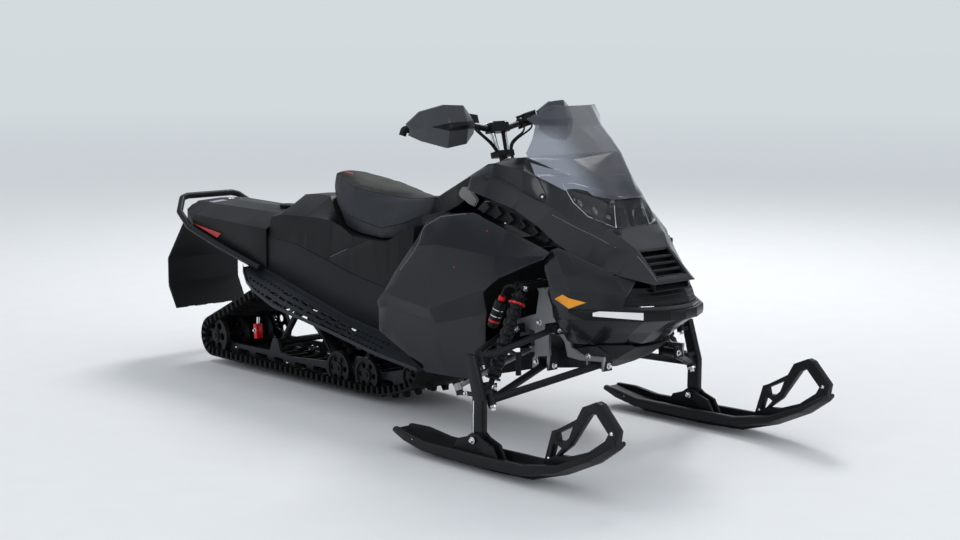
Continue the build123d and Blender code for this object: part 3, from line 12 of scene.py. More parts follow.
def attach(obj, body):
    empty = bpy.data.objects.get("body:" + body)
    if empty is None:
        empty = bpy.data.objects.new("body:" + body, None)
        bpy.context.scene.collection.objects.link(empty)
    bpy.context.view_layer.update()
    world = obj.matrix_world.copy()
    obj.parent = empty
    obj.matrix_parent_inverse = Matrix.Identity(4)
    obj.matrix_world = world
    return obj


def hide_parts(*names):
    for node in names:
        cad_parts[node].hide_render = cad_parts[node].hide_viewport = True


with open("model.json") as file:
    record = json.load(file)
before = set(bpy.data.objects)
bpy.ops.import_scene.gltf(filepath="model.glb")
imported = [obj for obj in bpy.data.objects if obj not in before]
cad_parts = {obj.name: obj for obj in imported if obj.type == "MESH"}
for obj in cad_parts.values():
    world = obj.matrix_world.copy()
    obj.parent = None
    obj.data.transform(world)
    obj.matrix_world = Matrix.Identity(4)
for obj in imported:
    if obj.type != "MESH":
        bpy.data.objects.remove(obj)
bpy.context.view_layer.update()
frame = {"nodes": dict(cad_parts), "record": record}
NODES = frame["nodes"]
SLOT_OF = {part["node"]: part["material_slot"] for part in frame["record"]["subparts"]}
MM = 0.001
SIDES = (1, -1)                 # left, right
NAMED_SIDES = ((1, "left"), (-1, "right"))
SKI_Y = 538                     # places of the CAD's front end, in millimetres
LEG_Y = 550
KINGPIN_Y = 508


# ---- finishes
def add_node(owner, kind, operation=None, **values):
    """New shader node with some of its inputs set; an input's blanks are underscores."""
    node = owner.node_tree.nodes.new("ShaderNode" + kind)
    if operation:
        node.operation = operation
    for name, value in values.items():
        node.inputs[name.replace("_", " ")].default_value = value
    return node


def wire(source, output, target, entry):
    """Joins an output of one shader node to an input of another."""
    source.id_data.links.new(source.outputs[output], target.inputs[entry])


def finish(name, colour, rough, metal=0.0, coat=0.0, spec=0.16, grain=420.0, bump=0.00012,
           spread=0.10, sheen=0.0, mottle=0.06):
    """Procedural material: even colour with slight mottling, fine grain and uneven gloss."""
    mat = bpy.data.materials.new(name)
    mat.use_nodes = True
    shader = mat.node_tree.nodes["Principled BSDF"]
    for name_in, value in (("Metallic", metal), ("Coat Weight", coat), ("Coat Roughness", 0.12),
                           ("Specular IOR Level", spec), ("Sheen Weight", sheen)):
        shader.inputs[name_in].default_value = value
    where = add_node(mat, "TexCoord")
    cloud = add_node(mat, "TexNoise", Scale=7.0, Detail=5.0)
    wire(where, "Object", cloud, "Vector")
    tint = add_node(mat, "ValToRGB")
    for stop, at, change in zip(tint.color_ramp.elements, (0.3, 0.7), (-mottle, mottle)):
        stop.position = at
        stop.color = (*(min(1.0, c * (1 + change)) for c in colour), 1)
    wire(cloud, "Fac", tint, "Fac")
    wire(tint, "Color", shader, "Base Color")
    gloss = add_node(mat, "MapRange", From_Min=0.3, From_Max=0.7,
                     To_Min=max(0.03, rough - spread / 2), To_Max=min(1.0, rough + spread / 2))
    wire(cloud, "Fac", gloss, "Value")
    wire(gloss, "Result", shader, "Roughness")
    fine = add_node(mat, "TexNoise", Scale=grain, Detail=3.0)
    wire(where, "Object", fine, "Vector")
    relief = add_node(mat, "Bump", Strength=0.6, Distance=bump)
    wire(fine, "Fac", relief, "Height")
    wire(relief, "Normal", shader, "Normal")
    return mat


def see_through(name, colour, rough, alpha, coat):
    """Clear or smoked plastic: a thin tinted sheet that lets light straight through."""
    mat = finish(name, colour, rough, spread=0.02, bump=0.000002, grain=14.0, coat=coat,
                 spec=0.5)
    shader = mat.node_tree.nodes["Principled BSDF"]
    shader.inputs["Alpha"].default_value = alpha
    mat.node_tree.links.remove(shader.inputs["Normal"].links[0])
    return mat


SCREEN_REFLECTION_Y = (0.075, 0.150)  # where the painted reflection on the screen fades in from the dark middle, outwards
SCREEN_REFLECTION_Z = (1.150, 1.085)  # and downwards


def paint_screen_reflection(mat, middle, outer):
    """Painted reflection: the screen is coloured paler on the lower outer facets than in the
    middle, standing in for the sky they mirror.
    """
    where, split = add_node(mat, "TexCoord"), add_node(mat, "SeparateXYZ")
    wire(where, "Object", split, 0)
    half, product = add_node(mat, "Math", "ABSOLUTE"), add_node(mat, "Math", "MULTIPLY")
    wire(split, "Y", half, 0)
    spans = ((half, 0, SCREEN_REFLECTION_Y), (split, "Z", SCREEN_REFLECTION_Z))
    for k, (source, output, (start, end)) in enumerate(spans):
        span = add_node(mat, "MapRange", From_Min=start, From_Max=end)
        span.interpolation_type = "SMOOTHSTEP"
        wire(source, output, span, "Value")
        wire(span, "Result", product, k)
    # Dark middle, and the pale painted reflection on the outer facets.
    ramp = add_node(mat, "ValToRGB")
    ramp.color_ramp.elements[0].color = (*middle, 1)
    ramp.color_ramp.elements[1].color = (*outer, 1)
    wire(product, 0, ramp, "Fac")
    wire(ramp, "Color", mat.node_tree.nodes["Principled BSDF"], "Base Color")


FINISH = {name: finish(name, colour, rough, **more) for name, colour, rough, more in (
    ("charcoal_plastic", (0.0085, 0.0095, 0.0105), 0.44, {"bump": 0.0002}),
    ("hood_grey", (0.0095, 0.0110, 0.0130), 0.24, {"coat": 0.40, "spread": 0.06}),
    ("panel_gloss", (0.0040, 0.0052, 0.0078), 0.18, {"coat": 0.38, "spread": 0.05}),
    ("dark_metal", (0.014, 0.015, 0.017), 0.42, {"metal": 0.25}),
    ("cast_silver", (0.30, 0.31, 0.32), 0.42, {"metal": 0.85, "bump": 0.0003}),
    ("rail_alloy", (0.030, 0.032, 0.036), 0.38, {"metal": 0.45}),
    ("belt_rubber", (0.0095, 0.0095, 0.0100), 0.62, {"grain": 260.0, "bump": 0.0004}),
    ("wheel_black", (0.011, 0.011, 0.012), 0.42, {}),
    ("lens_red", (0.42, 0.012, 0.014), 0.22, {"coat": 0.5}),
    ("lens_amber", (0.85, 0.33, 0.02), 0.24, {"coat": 0.5}),
    ("seat_vinyl", (0.030, 0.030, 0.026), 0.62, {"grain": 900.0, "bump": 0.0003,
                                                 "sheen": 0.05}),
    ("bumper_black", (0.0075, 0.0080, 0.0085), 0.36, {}),
    ("shock_black", (0.011, 0.011, 0.012), 0.32, {"metal": 0.2}),
    ("engine_grey", (0.02, 0.02, 0.021), 0.5, {"metal": 0.3}),
    ("ski_plastic", (0.0105, 0.0115, 0.0125), 0.40, {}),
    ("guard_grey", (0.048, 0.052, 0.058), 0.28, {"coat": 0.45}),
    ("bar_black", (0.010, 0.010, 0.011), 0.45, {}),
    ("flap_rubber", (0.011, 0.0115, 0.012), 0.52, {"bump": 0.0003}),
    ("spindle_dark", (0.016, 0.018, 0.019), 0.36, {"metal": 0.30}),
)}
FINISH["smoke_screen"] = see_through("smoke_screen", (0.10, 0.105, 0.125), 0.12, 0.66, 0.8)
FINISH["lens_clear"] = see_through("lens_clear", (0.020, 0.023, 0.026), 0.06, 0.42, 0.7)
SILVER = finish("bright_steel", (0.72, 0.73, 0.75), 0.22, metal=1.0, spread=0.12, bump=0.0001)
RED = finish("anodised_red", (0.62, 0.012, 0.018), 0.28, metal=0.1, coat=0.3)
WHITE = finish("white_plate", (0.90, 0.90, 0.90), 0.5)
GLOSS = finish("piano_black", (0.004, 0.004, 0.005), 0.14, coat=0.6, spread=0.04)
# Painted highlight: pale lines laid along panel edges, the seat base and the hood's creases.
PAINTED_HIGHLIGHT = finish("painted_highlight_line", (0.16, 0.17, 0.185), 0.34, spread=0.06)
PAD = finish("grey_foam", (0.20, 0.20, 0.195), 0.75, bump=0.0006, grain=300.0)
HOSE = finish("hose_black", (0.008, 0.008, 0.008), 0.5, grain=500.0)
BOARD = finish("board_metal", (0.030, 0.036, 0.043), 0.36, metal=0.35, grain=200.0)
BULB = finish("chrome_bowl", (0.60, 0.62, 0.66), 0.12, metal=1.0, spread=0.06)


# ---- mesh pieces
def tree_of(mesh):
    """Tree of a mesh's faces, for ray casts."""
    return BVHTree.FromPolygons([v.co.copy() for v in mesh.vertices],
                                [tuple(p.vertices) for p in mesh.polygons])


TREES = {}


def skin(node, start, direction, reach=3.0):
    """Where a ray meets a CAD node, in metres, and the face's direction there."""
    if node not in TREES:
        TREES[node] = tree_of(NODES[node].data)
    place, normal, _, _ = TREES[node].ray_cast(Vector(start), Vector(direction).normalized(),
                                               reach)
    if place is not None and normal.dot(Vector(direction)) > 0:
        normal = -normal
    return place, normal


def found(rays):
    """The places where rays met something."""
    return [place for place, _ in rays if place is not None]


def mm(*point):
    """Place given in millimetres."""
    return Vector(point) * MM


def from_side(node, x, z, s, start=700, reach=0.9):
    """Where a level ray from one side meets a CAD node."""
    return skin(node, mm(x, s * start, z), (0, -s, 0), reach)


def from_above(node, x, y, start=1400, reach=2.0):
    """Where a ray straight down meets a CAD node."""
    return skin(node, mm(x, y, start), (0, 0, -1), reach)


def new_object(name, data):
    """New object in the scene."""
    obj = bpy.data.objects.new(name, data)
    bpy.context.scene.collection.objects.link(obj)
    return obj


def copy_of(node, name):
    """New object with a copy of a CAD node's mesh."""
    return new_object(name, NODES[node].data.copy())


def shade_smooth(mesh):
    """Marks every face as smooth."""
    mesh.polygons.foreach_set("use_smooth", [True] * len(mesh.polygons))


def modify(obj, name, kind, **settings):
    """Adds a modifier with its settings."""
    mod = obj.modifiers.new(name, kind)
    for key, value in settings.items():
        setattr(mod, key, value)


def apply(obj, *names):
    """Applies modifiers of an object."""
    bpy.context.view_layer.objects.active = obj
    for name in names:
        bpy.ops.object.modifier_apply(modifier=name)


def frame_of(axis):
    """Two directions square to an axis."""
    axis = Vector(axis).normalized()
    other = Vector((0, 0, 1)) if abs(axis.z) < 0.9 else Vector((1, 0, 0))
    across = axis.cross(other).normalized()
    return axis, across, axis.cross(across).normalized()


def smooth_path(points, per_span=8):
    """Catmull-Rom curve through the points."""
    pts = [Vector(p) for p in points]
    if len(pts) < 3:
        return pts
    out = []
    last = len(pts) - 1
    for i in range(last):
        a, b, c, d = (pts[min(max(i + k, 0), last)] for k in (-1, 0, 1, 2))
        for step in range(per_span):
            t = step / per_span
            out.append(0.5 * ((2 * b) + (c - a) * t + (2 * a - 5 * b + 4 * c - d) * t * t
                              + (3 * b - a - 3 * c + d) * t ** 3))
    return out + [pts[-1]]


SHARP_ANGLE = 38.0              # degrees; sharper edges stay sharp


class Piece:
    """One modelled piece, put together from tubes, turned forms, plates and fasteners."""

    def __init__(self):
        self.bm = bmesh.new()

    def ring(self, centre, across, up, radius_a, radius_b, sides):
        """Ring of points round a centre."""
        verts = []
        for i in range(sides):
            turn = 2 * math.pi * i / sides
            verts.append(self.bm.verts.new(centre + across * (radius_a * math.cos(turn))
                                           + up * (radius_b * math.sin(turn))))
        return verts

    def bridge(self, a, b):
        """Faces between two rings."""
        count = len(a)
        for i in range(count):
            j = (i + 1) % count
            self.bm.faces.new((a[i], a[j], b[j], b[i]))

    def cap(self, ring, flip=False):
        """Face across a ring."""
        self.bm.faces.new(list(reversed(ring)) if flip else ring)

    def loft(self, rings):
        """Closed form through rings."""
        for a, b in zip(rings, rings[1:]):
            self.bridge(a, b)
        self.cap(rings[0], True)
        self.cap(rings[-1])

    def bevel(self, verts, chamfer, **more):
        """Chamfers the edges at some points, in a fixed order."""
        edges = list(dict.fromkeys(e for v in verts for e in v.link_edges))
        bmesh.ops.bevel(self.bm, geom=edges, offset=chamfer, segments=2, affect="EDGES",
                        clamp_overlap=True, **more)

    def tube(self, points, radius, sides=10, closed=False, flat=1.0, normal=None):
        """Swept tube; flat squeezes it along the given normal."""
        pts = [Vector(p) for p in points]
        rings = []
        side = None
        for i, p in enumerate(pts):
            if closed:
                along = pts[(i + 1) % len(pts)] - pts[i - 1]
            else:
                along = pts[min(i + 1, len(pts) - 1)] - pts[max(i - 1, 0)]
            along.normalize()
            if normal is not None:
                n = Vector(normal)
                up = (n - along * n.dot(along)).normalized()
                across = along.cross(up).normalized()
            else:
                if side is None:
                    side = frame_of(along)[1]
                side = (side - along * side.dot(along)).normalized()
                across, up = side, along.cross(side).normalized()
            r = radius[i] if isinstance(radius, list) else radius
            rings.append(self.ring(p, across, up, r, r * flat, sides))
        if closed:
            for a, b in zip(rings, rings[1:] + rings[:1]):
                self.bridge(a, b)
        else:
            self.loft(rings)

    def turned(self, foot, axis, profile, sides=20):
        """Form turned about an axis; the profile is pairs of distance along and radius."""
        axis, across, up = frame_of(axis)
        foot = Vector(foot)
        self.loft([self.ring(foot + axis * d, across, up, r, r, sides) for d, r in profile])

    def bolt(self, foot, axis, size):
        """Hexagon head on a washer."""
        axis = Vector(axis).normalized()
        foot = Vector(foot)
        self.turned(foot - axis * 0.001, axis,
                    [(0, size * 1.45), (0.0022, size * 1.45), (0.0026, size * 1.35)], 18)
        self.turned(foot + axis * 0.0014, axis,
                    [(0, size), (size * 0.85, size), (size * 1.05, size * 0.82)], 6)

    def dome(self, foot, axis, radius, height=None):
        """Round rivet or button head."""
        h = height or radius * 0.55
        rows = [(h * math.sin(t * math.pi / 8), radius * math.cos(t * math.pi / 8) + 1e-5)
                for t in range(5)]
        self.turned(Vector(foot) - Vector(axis).normalized() * 0.0005, axis, rows, 14)

    def block(self, centre, axes, half, chamfer):
        """Box along three directions, with chamfered edges."""
        made = bmesh.ops.create_cube(self.bm, size=2.0)["verts"]
        x, y, z = (Vector(a).normalized() for a in axes)
        for v in made:
            v.co = (Vector(centre) + x * v.co.x * half[0] + y * v.co.y * half[1]
                    + z * v.co.z * half[2])
        self.bevel(made, chamfer, profile=0.6)

    def plate(self, outline, thick, chamfer=0.0):
        """Flat plate: an outline in space, thickened by a vector."""
        low = [self.bm.verts.new(Vector(p)) for p in outline]
        high = [self.bm.verts.new(Vector(p) + Vector(thick)) for p in outline]
        self.bridge(low, high)
        self.cap(low, True)
        self.cap(high)
        if chamfer:
            self.bevel(low + high, chamfer)

    def done(self, name, material, body, slot=None):
        """Makes the form an object that rides on a body."""
        bmesh.ops.recalc_face_normals(self.bm, faces=self.bm.faces)
        mesh = bpy.data.meshes.new(name)
        self.bm.to_mesh(mesh)
        self.bm.free()
        obj = new_object(name, mesh)
        mesh.materials.append(material)
        shade_smooth(mesh)
        mesh.set_sharp_from_angle(angle=math.radians(SHARP_ANGLE))
        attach(obj, body)
        return obj


# ---- CAD nodes
EDGE_WIDTH = {
    # node: width of the rounded edges in millimetres
    "hood": 1.6, "side_panel_left": 2.2, "side_panel_right": 2.2, "lower_cowl": 1.6,
    "front_bumper": 2.0, "tail_cover": 2.0, "cargo_cover": 3.0, "seat_base": 2.0,
    "belly_pan": 1.6, "console": 2.5, "snow_flap": 1.5, "handguard_left": 1.2,
    "handguard_right": 1.2, "spindle_left": 1.2, "spindle_right": 1.2, "side_louvres": 1.0,
    "windshield": 1.0, "side_reflectors": 0.7, "tunnel": 0.8, "tail_lights": 0.7,
}
EDGE_ANGLE = 8.0


def soften(obj, width):
    """Welds a CAD mesh and rounds its edges, so that they catch the light."""
    obj.data.normals_split_custom_set([(0.0, 0.0, 0.0)] * len(obj.data.loops))
    shade_smooth(obj.data)
    modify(obj, "weld", "WELD", merge_threshold=0.00002)
    modify(obj, "edges", "BEVEL", width=width * MM, segments=2, limit_method="ANGLE",
           angle_limit=math.radians(EDGE_ANGLE), use_clamp_overlap=True, harden_normals=True)


for node, obj in NODES.items():
    obj.data.materials.clear()
    obj.data.materials.append(FINISH[SLOT_OF[node]])
    if node in EDGE_WIDTH:
        soften(obj, EDGE_WIDTH[node])

# Only the two side castings of the front frame are bare metal.
casting = NODES["front_frame"].data
casting.materials.append(FINISH["dark_metal"])
for face in casting.polygons:
    across, high = abs(face.center.y), face.center.z
    bare = 0.1945 < across < 0.2145 and high < 0.607
    bare = bare or (across < 0.101 and 0.68 < face.center.x < 0.81 and high < 0.437)
    face.material_index = 0 if bare else 1
for node in ("running_board_left", "running_board_right"):
    NODES[node].data.materials[0] = BOARD

# Painted reflection: pale colour on the screen's lower outer facets.
paint_screen_reflection(FINISH["smoke_screen"], (0.055, 0.060, 0.076), (0.27, 0.30, 0.36))


# ---- seat
SEAT_CREASE = (
    # x, half width and height of the edge between the top and the side
    (-507, 52, 880), (-430, 88, 874), (-345, 120, 858), (-277, 140, 845), (-200, 131, 834),
    (-136, 112, 828), (-60, 84, 819), (0, 67, 814), (40, 55, 815), (75, 44, 820),
)
SEAT_BAND = (
    # x, half width and height of the seam above the lower band
    (-507, 56, 832), (-430, 98, 764), (-345, 130, 736), (-277, 152, 726), (-200, 168, 716),
    (-136, 176, 708), (-60, 180, 700), (0, 166, 714), (40, 138, 728), (75, 104, 750),
)
SEAT_VOXEL = 0.0055
SEAT_START = 0.004              # how far the form is drawn in before it swells
SEAT_SWELL = 0.006              # most that a point may move
SEAT_FRAMES = 20


def between_rows(rows, x):
    """Row values at a station."""
    for a, b in zip(rows, rows[1:]):
        if x <= b[0]:
            t = max(0.0, (x - a[0]) / (b[0] - a[0]))
            return [p + (q - p) * t for p, q in zip(a[1:], b[1:])]
    return list(rows[-1][1:])


def seat_vinyl():
    """Cover in three tones split along the seams: dark top and lower band, and paler bluish sides
    that are painted light from the sky.
    """
    mat = finish("seat_cover", (0.030, 0.030, 0.026), 0.60, grain=900.0, bump=0.0004)
    where, ramp = add_node(mat, "Attribute"), add_node(mat, "ValToRGB")
    where.attribute_name = "panel"
    ramp.color_ramp.interpolation = "CONSTANT"
    stops = ramp.color_ramp.elements
    stops[0].position, stops[0].color = 0.0, (0.013, 0.0135, 0.0135, 1)
    # Sides: painted light, a paler bluish tone standing in for sky light on the side faces.
    stops[1].position, stops[1].color = 0.333, (0.036, 0.040, 0.047, 1)
    stops.new(0.6667).color = (0.017, 0.0175, 0.0165, 1)
    wire(where, "Fac", ramp, "Fac")
    wire(ramp, "Color", mat.node_tree.nodes["Principled BSDF"], "Base Color")
    return mat


def make_seat():
    """Cover swollen by a cloth pass, with piping along its seams and a tag."""
    obj = copy_of("seat_cushion", "seat_cover")
    for other in bpy.context.selected_objects:
        other.select_set(False)
    obj.select_set(True)
    modify(obj, "weld", "WELD", merge_threshold=0.0001)
    modify(obj, "remesh", "REMESH", mode="VOXEL", voxel_size=SEAT_VOXEL)
    modify(obj, "smooth", "SMOOTH", factor=0.5, iterations=4)
    modify(obj, "shrink", "DISPLACE", strength=-SEAT_START, mid_level=0.0)
    apply(obj, "weld", "remesh", "smooth", "shrink")
    start = [v.co.copy() for v in obj.data.vertices]
    hold = obj.vertex_groups.new(name="hold")
    foot = min(v.co.z for v in obj.data.vertices)
    for v in obj.data.vertices:
        seam = between_rows(SEAT_BAND, v.co.x / MM)[1]
        low = v.co.z < (seam - 40) * MM or v.co.z < foot + 0.012
        hold.add([v.index], 1.0 if low else 0.0, "REPLACE")
    cloth = obj.modifiers.new("cloth", "CLOTH")
    cloth.settings.use_pressure = True
    cloth.settings.uniform_pressure_force = 4.0
    cloth.settings.effector_weights.gravity = 0.0
    cloth.settings.vertex_group_mass = "hold"
    for frame_number in range(1, SEAT_FRAMES + 1):
        bpy.context.scene.frame_set(frame_number)
    apply(obj, "cloth")
    for v, at in zip(obj.data.vertices, start):
        step = v.co - at
        if step.length > SEAT_SWELL:
            v.co = at + step * (SEAT_SWELL / step.length)
    bpy.context.scene.frame_set(1)
    modify(obj, "even", "SMOOTH", factor=0.5, iterations=10)
    apply(obj, "even")
    modify(obj, "sub", "SUBSURF", levels=1, render_levels=1)
    apply(obj, "sub")
    # Marks each point as top, side or lower band; the sides' paler colour is painted light.
    panel = obj.data.attributes.new("panel", "FLOAT", "POINT")
    for i, v in enumerate(obj.data.vertices):
        x, y, z = v.co.x / MM, abs(v.co.y) / MM, v.co.z / MM
        half, crease = between_rows(SEAT_CREASE, x)
        band = z - between_rows(SEAT_BAND, x)[1]
        top = (z - crease) + 0.6 * (half - y)
        if band < 0.5 * (top - band):
            panel.data[i].value = 0.3333 + max(-0.3, min(0.16, band * 0.01))
        else:
            panel.data[i].value = 0.6667 + max(-0.16, min(0.3, top * 0.01))
    obj.data.materials.clear()
    obj.data.materials.append(seat_vinyl())
    shade_smooth(obj.data)
    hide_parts("seat_cushion")
    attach(obj, "chassis")
    tree = tree_of(obj.data)
    cord = Piece()
    for rows in (SEAT_CREASE, SEAT_BAND):
        for s in SIDES:
            line, steps = [], 60
            for k in range(steps + 1):
                x = rows[0][0] + 14 + (rows[-1][0] - rows[0][0] - 20) * k / steps
                half, high = between_rows(rows, x)
                middle = mm(x, 0, high - (40 if rows is SEAT_CREASE else 0))
                aim = mm(x, s * half, high) - middle
                place, normal, _, _ = tree.ray_cast(middle, aim.normalized(), 1.0)
                if place is not None:
                    line.append(place - normal * 0.0006)
            cord.tube(smooth_path(line[::2], 3), 0.0017, 8)
    cord.done("seat_piping", FINISH["bumper_black"], "chassis", "seat_vinyl")
    tag = Piece()
    line = [tree.ray_cast(mm(-452 + 52 * k / 7, -36, 1000), Vector((0, 0, -1)), 1.0)[0]
            for k in range(8)]
    tag.tube(line, 0.006, 8, flat=0.16, normal=(0, 0, 1))
    tag.done("seat_tag", RED, "chassis")


make_seat()


# ---- belt
LUG_ROWS = 96
LUG_RISE = 0.0275
BELT_THICK = 0.006
BELT_HALF = 0.1900


def belt_line():
    """The belt's inner outline from the CAD track, as points in x and z, in order."""
    mesh = NODES["track"].data
    side = min(v.co.y for v in mesh.vertices)
    key = {}
    for v in mesh.vertices:
        if abs(v.co.y - side) < 1e-5:
            key[v.index] = (round(v.co.x * 1e5), round(v.co.z * 1e5))
    links = {}
    for p in mesh.polygons:
        ids = list(p.vertices)
        flat = [i for i in ids if i in key]
        if len(flat) == 2 and key[flat[0]] != key[flat[1]]:
            a, b = key[flat[0]], key[flat[1]]
            links.setdefault(a, set()).add(b)
            links.setdefault(b, set()).add(a)
    loops, left = [], set(links)
    while left:
        start = left.pop()
        loop, here, before = [start], start, None
        while True:
            onward = [p for p in links[here] if p != before and (p in left or p == start)]
            if not onward or onward[0] == start:
                break
            before, here = here, onward[0]
            left.discard(here)
            loop.append(here)
        loops.append(loop)
    inner = min((l for l in loops if len(l) > 20),
                key=lambda l: max(p[0] for p in l) - min(p[0] for p in l))
    return [Vector((x / 1e5, 0, z / 1e5)) for x, z in inner]


def even_points(line, count, offset=0.0):
    """Points at equal distances round a closed line, with the outward direction at each."""
    ring = line + [line[0]]
    lengths = [(b - a).length for a, b in zip(ring, ring[1:])]
    total = sum(lengths)
    middle = sum(line, Vector()) / len(line)
    out, i, gone = [], 0, 0.0
    for k in range(count):
        want = (k + offset) * total / count
        while gone + lengths[i] < want:
            gone += lengths[i]
            i += 1
        t = (want - gone) / lengths[i]
        a, b = ring[i], ring[i + 1]
        along = (b - a).normalized()
        out.append((a.lerp(b, t), along))
    turn = sum(((b - middle).cross(c - middle)).y for b, c in zip(ring, ring[1:]))
    sign = 1.0 if turn > 0 else -1.0
    return [(p, along, sign * Vector((-along.z, 0, along.x)) * -1.0) for p, along in out]


OUTER_LUG = ((-0.0085, BELT_THICK - 0.001), (-0.0045, BELT_THICK + LUG_RISE),
             (0.0045, BELT_THICK + LUG_RISE), (0.0085, BELT_THICK - 0.001))
INNER_LUG = ((-0.016, 0.001), (-0.007, -0.022), (0.007, -0.022), (0.016, 0.001))


def add_lug(belt, shape, at, y0, y1):
    """Adds a lug across the belt between two distances from the middle."""
    p, along, out = at
    outline = [p + along * half + out * rise + mm(0, y0, 0) for half, rise in shape]
    belt.plate(outline, mm(0, y1 - y0, 0))


def make_belt():
    """Belt with outer and inner lugs, and the clips between them."""
    line = belt_line()
    belt = Piece()
    corners = ((-BELT_HALF, 0.0), (BELT_HALF, 0.0), (BELT_HALF, BELT_THICK),
               (-BELT_HALF, BELT_THICK))
    rings = [[belt.bm.verts.new(p + Vector((0, y, 0)) + out * h) for y, h in corners]
             for p, _, out in even_points(line, 288)]
    for a, b in zip(rings, rings[1:] + rings[:1]):
        belt.bridge(a, b)
    wide = ((-190, -134), (-62, 62), (134, 190))
    narrow = ((-190, -160), (-126, -70), (70, 126), (160, 190))
    for k, at in enumerate(even_points(line, LUG_ROWS, 0.5)):
        for y0, y1 in (narrow if k % 2 else wide):
            add_lug(belt, OUTER_LUG, at, y0, y1)
        for y in () if k % 2 else (-100, 100):
            add_lug(belt, INNER_LUG, at, y - 9, y + 9)
    obj = belt.done("belt", FINISH["belt_rubber"], "chassis", "belt_rubber")
    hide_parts("track")
    clips = Piece()
    for p, along, out in even_points(line, LUG_ROWS // 2):
        for y in (-60, 60, -146, 146):
            clips.block(p + out * (BELT_THICK + 0.0005) + Vector((0, y * MM, 0)),
                        (along, (0, 1, 0), out), (0.011, 0.010, 0.0014), 0.0006)
    clips.done("belt_clips", FINISH["rail_alloy"], "chassis", "rail_alloy")


make_belt()


# ---- fasteners
def side_fasteners():
    """Bolts and rivet heads on the skis and spindles, and the nuts under the ball joints."""
    for s, name in NAMED_SIDES:
        ski = Piece()
        for x, z, size in ((1137, 55, 7), (640, 62, 6)):
            for way in (1, -1):
                y = s * SKI_Y + way * 90
                place, normal = skin("ski_" + name, mm(x, y, z), (0, -way, 0), 0.2)
                if place is not None:
                    ski.dome(place - normal * 0.0042, normal, size * MM, 0.0040)
        for way in (1, -1):
            ski.bolt(mm(925, s * LEG_Y + way * 32, 100), (0, way, 0), 0.0085)
            ski.dome(mm(1537, s * SKI_Y + way * 13, 225), (0, way, 0), 0.0075)
            ski.dome(mm(1258, s * SKI_Y + way * 13, 96), (0, way, 0), 0.006)
        ski.done("ski_bolts_" + name, SILVER, "ski_" + name)
        leg = Piece()
        up = Vector((-math.sin(math.radians(22)), 0, math.cos(math.radians(22))))
        ball = mm(937, s * KINGPIN_Y, 230)
        leg.turned(ball + up * 0.122, up, [(0, 0.0085), (0.004, 0.0135), (0.010, 0.0135),
                                           (0.013, 0.009)], 20)
        leg.bolt(ball + up * 0.118, -up, 0.0085)
        low = Piece()
        low.turned(ball - up * 0.0195, -up, [(0, 0.0165), (0.006, 0.0165), (0.009, 0.0110)], 20)
        low.bolt(ball - up * 0.027, -up, 0.0090)
        low.done("ball_nut_" + name, SILVER, "chassis")
        leg.bolt(mm(868, s * 561.0, 250), (0, s, 0), 0.006)
        strip = []
        for z in range(120, 235, 8):
            for x in range(860, 960):
                place, normal = from_side("spindle_" + name, x, z, s, 600, 0.06)
                if place is not None:
                    strip.append(place + mm(5, 0, 0))
                    break
        if len(strip) > 2:
            leg.tube(strip, 0.0026, 8, flat=0.35, normal=(0, s, 0))
        leg.done("spindle_bolts_" + name, SILVER, "spindle_" + name)


side_fasteners()


# ---- front dampers
def front_dampers():
    """Gas reservoirs, their hoses and coloured adjusters beside the front dampers."""
    body, red, steel, hose = Piece(), Piece(), Piece(), Piece()
    for s in SIDES:
        top, foot = mm(826, s * 352, 556), mm(788, s * 366, 444)
        axis = (foot - top).normalized()
        length = (foot - top).length
        body.turned(top + axis * 0.016, axis,
                    [(0, 0.016), (0.003, 0.0205), (length - 0.034, 0.0205),
                     (length - 0.030, 0.018)], 24)
        red.turned(top - axis * 0.004, axis, [(0, 0.006), (0.004, 0.0125), (0.016, 0.0135),
                                              (0.0195, 0.0120)], 20)
        red.turned(top + axis * (length - 0.030), axis, [(0, 0.0212), (0.007, 0.0212)], 24)
        body.turned(top + axis * (length - 0.0235), axis, [(0, 0.0195), (0.018, 0.0185),
                                                           (0.022, 0.013)], 24)
        for band in (0.048, 0.072):
            steel.turned(top + axis * band, axis, [(0, 0.0210), (0.003, 0.0210)], 24)
        head = mm(888, s * 330, 566)
        hose.tube(smooth_path([top + axis * 0.02, mm(850, s * 362, 590), mm(882, s * 352, 596),
                               head], 8), 0.0055, 10)
        steel.bolt(mm(910.5, s * 322, 590), (1, 0, 0), 0.008)
        steel.bolt(mm(910.5, s * 470, 262), (1, 0, 0), 0.008)
        way = (mm(890, s * 470, 262) - mm(890, s * 322, 590)).normalized()
        red.turned(mm(890, s * 322, 590) + way * 0.055, way, [(0, 0.030), (0.006, 0.030)], 24)
    body.done("reservoirs", FINISH["shock_black"], "chassis", "shock_black")
    red.done("damper_rings", RED, "chassis")
    steel.done("damper_bolts", SILVER, "chassis")
    hose.done("damper_hoses", HOSE, "chassis")


front_dampers()


# ---- front frame bolts
def frame_bolts():
    """Bolts of the front frame and its pivots, and the gear casing between its sides."""
    steel = Piece()
    for s in SIDES:
        for x, z in ((881, 588), (860, 452), (962, 462), (1100, 364), (740, 432), (846, 310)):
            place, _ = from_side("front_frame", x, z, s, 420, 0.6)
            if place is not None and abs(place.y) > 0.19:
                steel.bolt(place, (0, s, 0), 0.0075)
        for x, y, z, gap in ((1130, 178, 338, 40), (866, 178, 302, 40), (970, 244, 448, 28),
                             (756, 244, 424, 28)):
            for way in (1, -1):
                steel.bolt(mm(x + way * gap, s * y, z), (way, 0, 0), 0.0075)
    case = Piece()
    case.block(mm(710, 0, 338), ((1, 0, 0), (0, 1, 0), (0, 0, 1)), (0.085, 0.080, 0.048), 0.010)
    case.done("gear_case", FINISH["cast_silver"], "chassis", "cast_silver")
    steel.done("frame_bolts", SILVER, "chassis", "cast_silver")


frame_bolts()


# ---- nose
HOOD_PIN = (891, 898)           # x, z


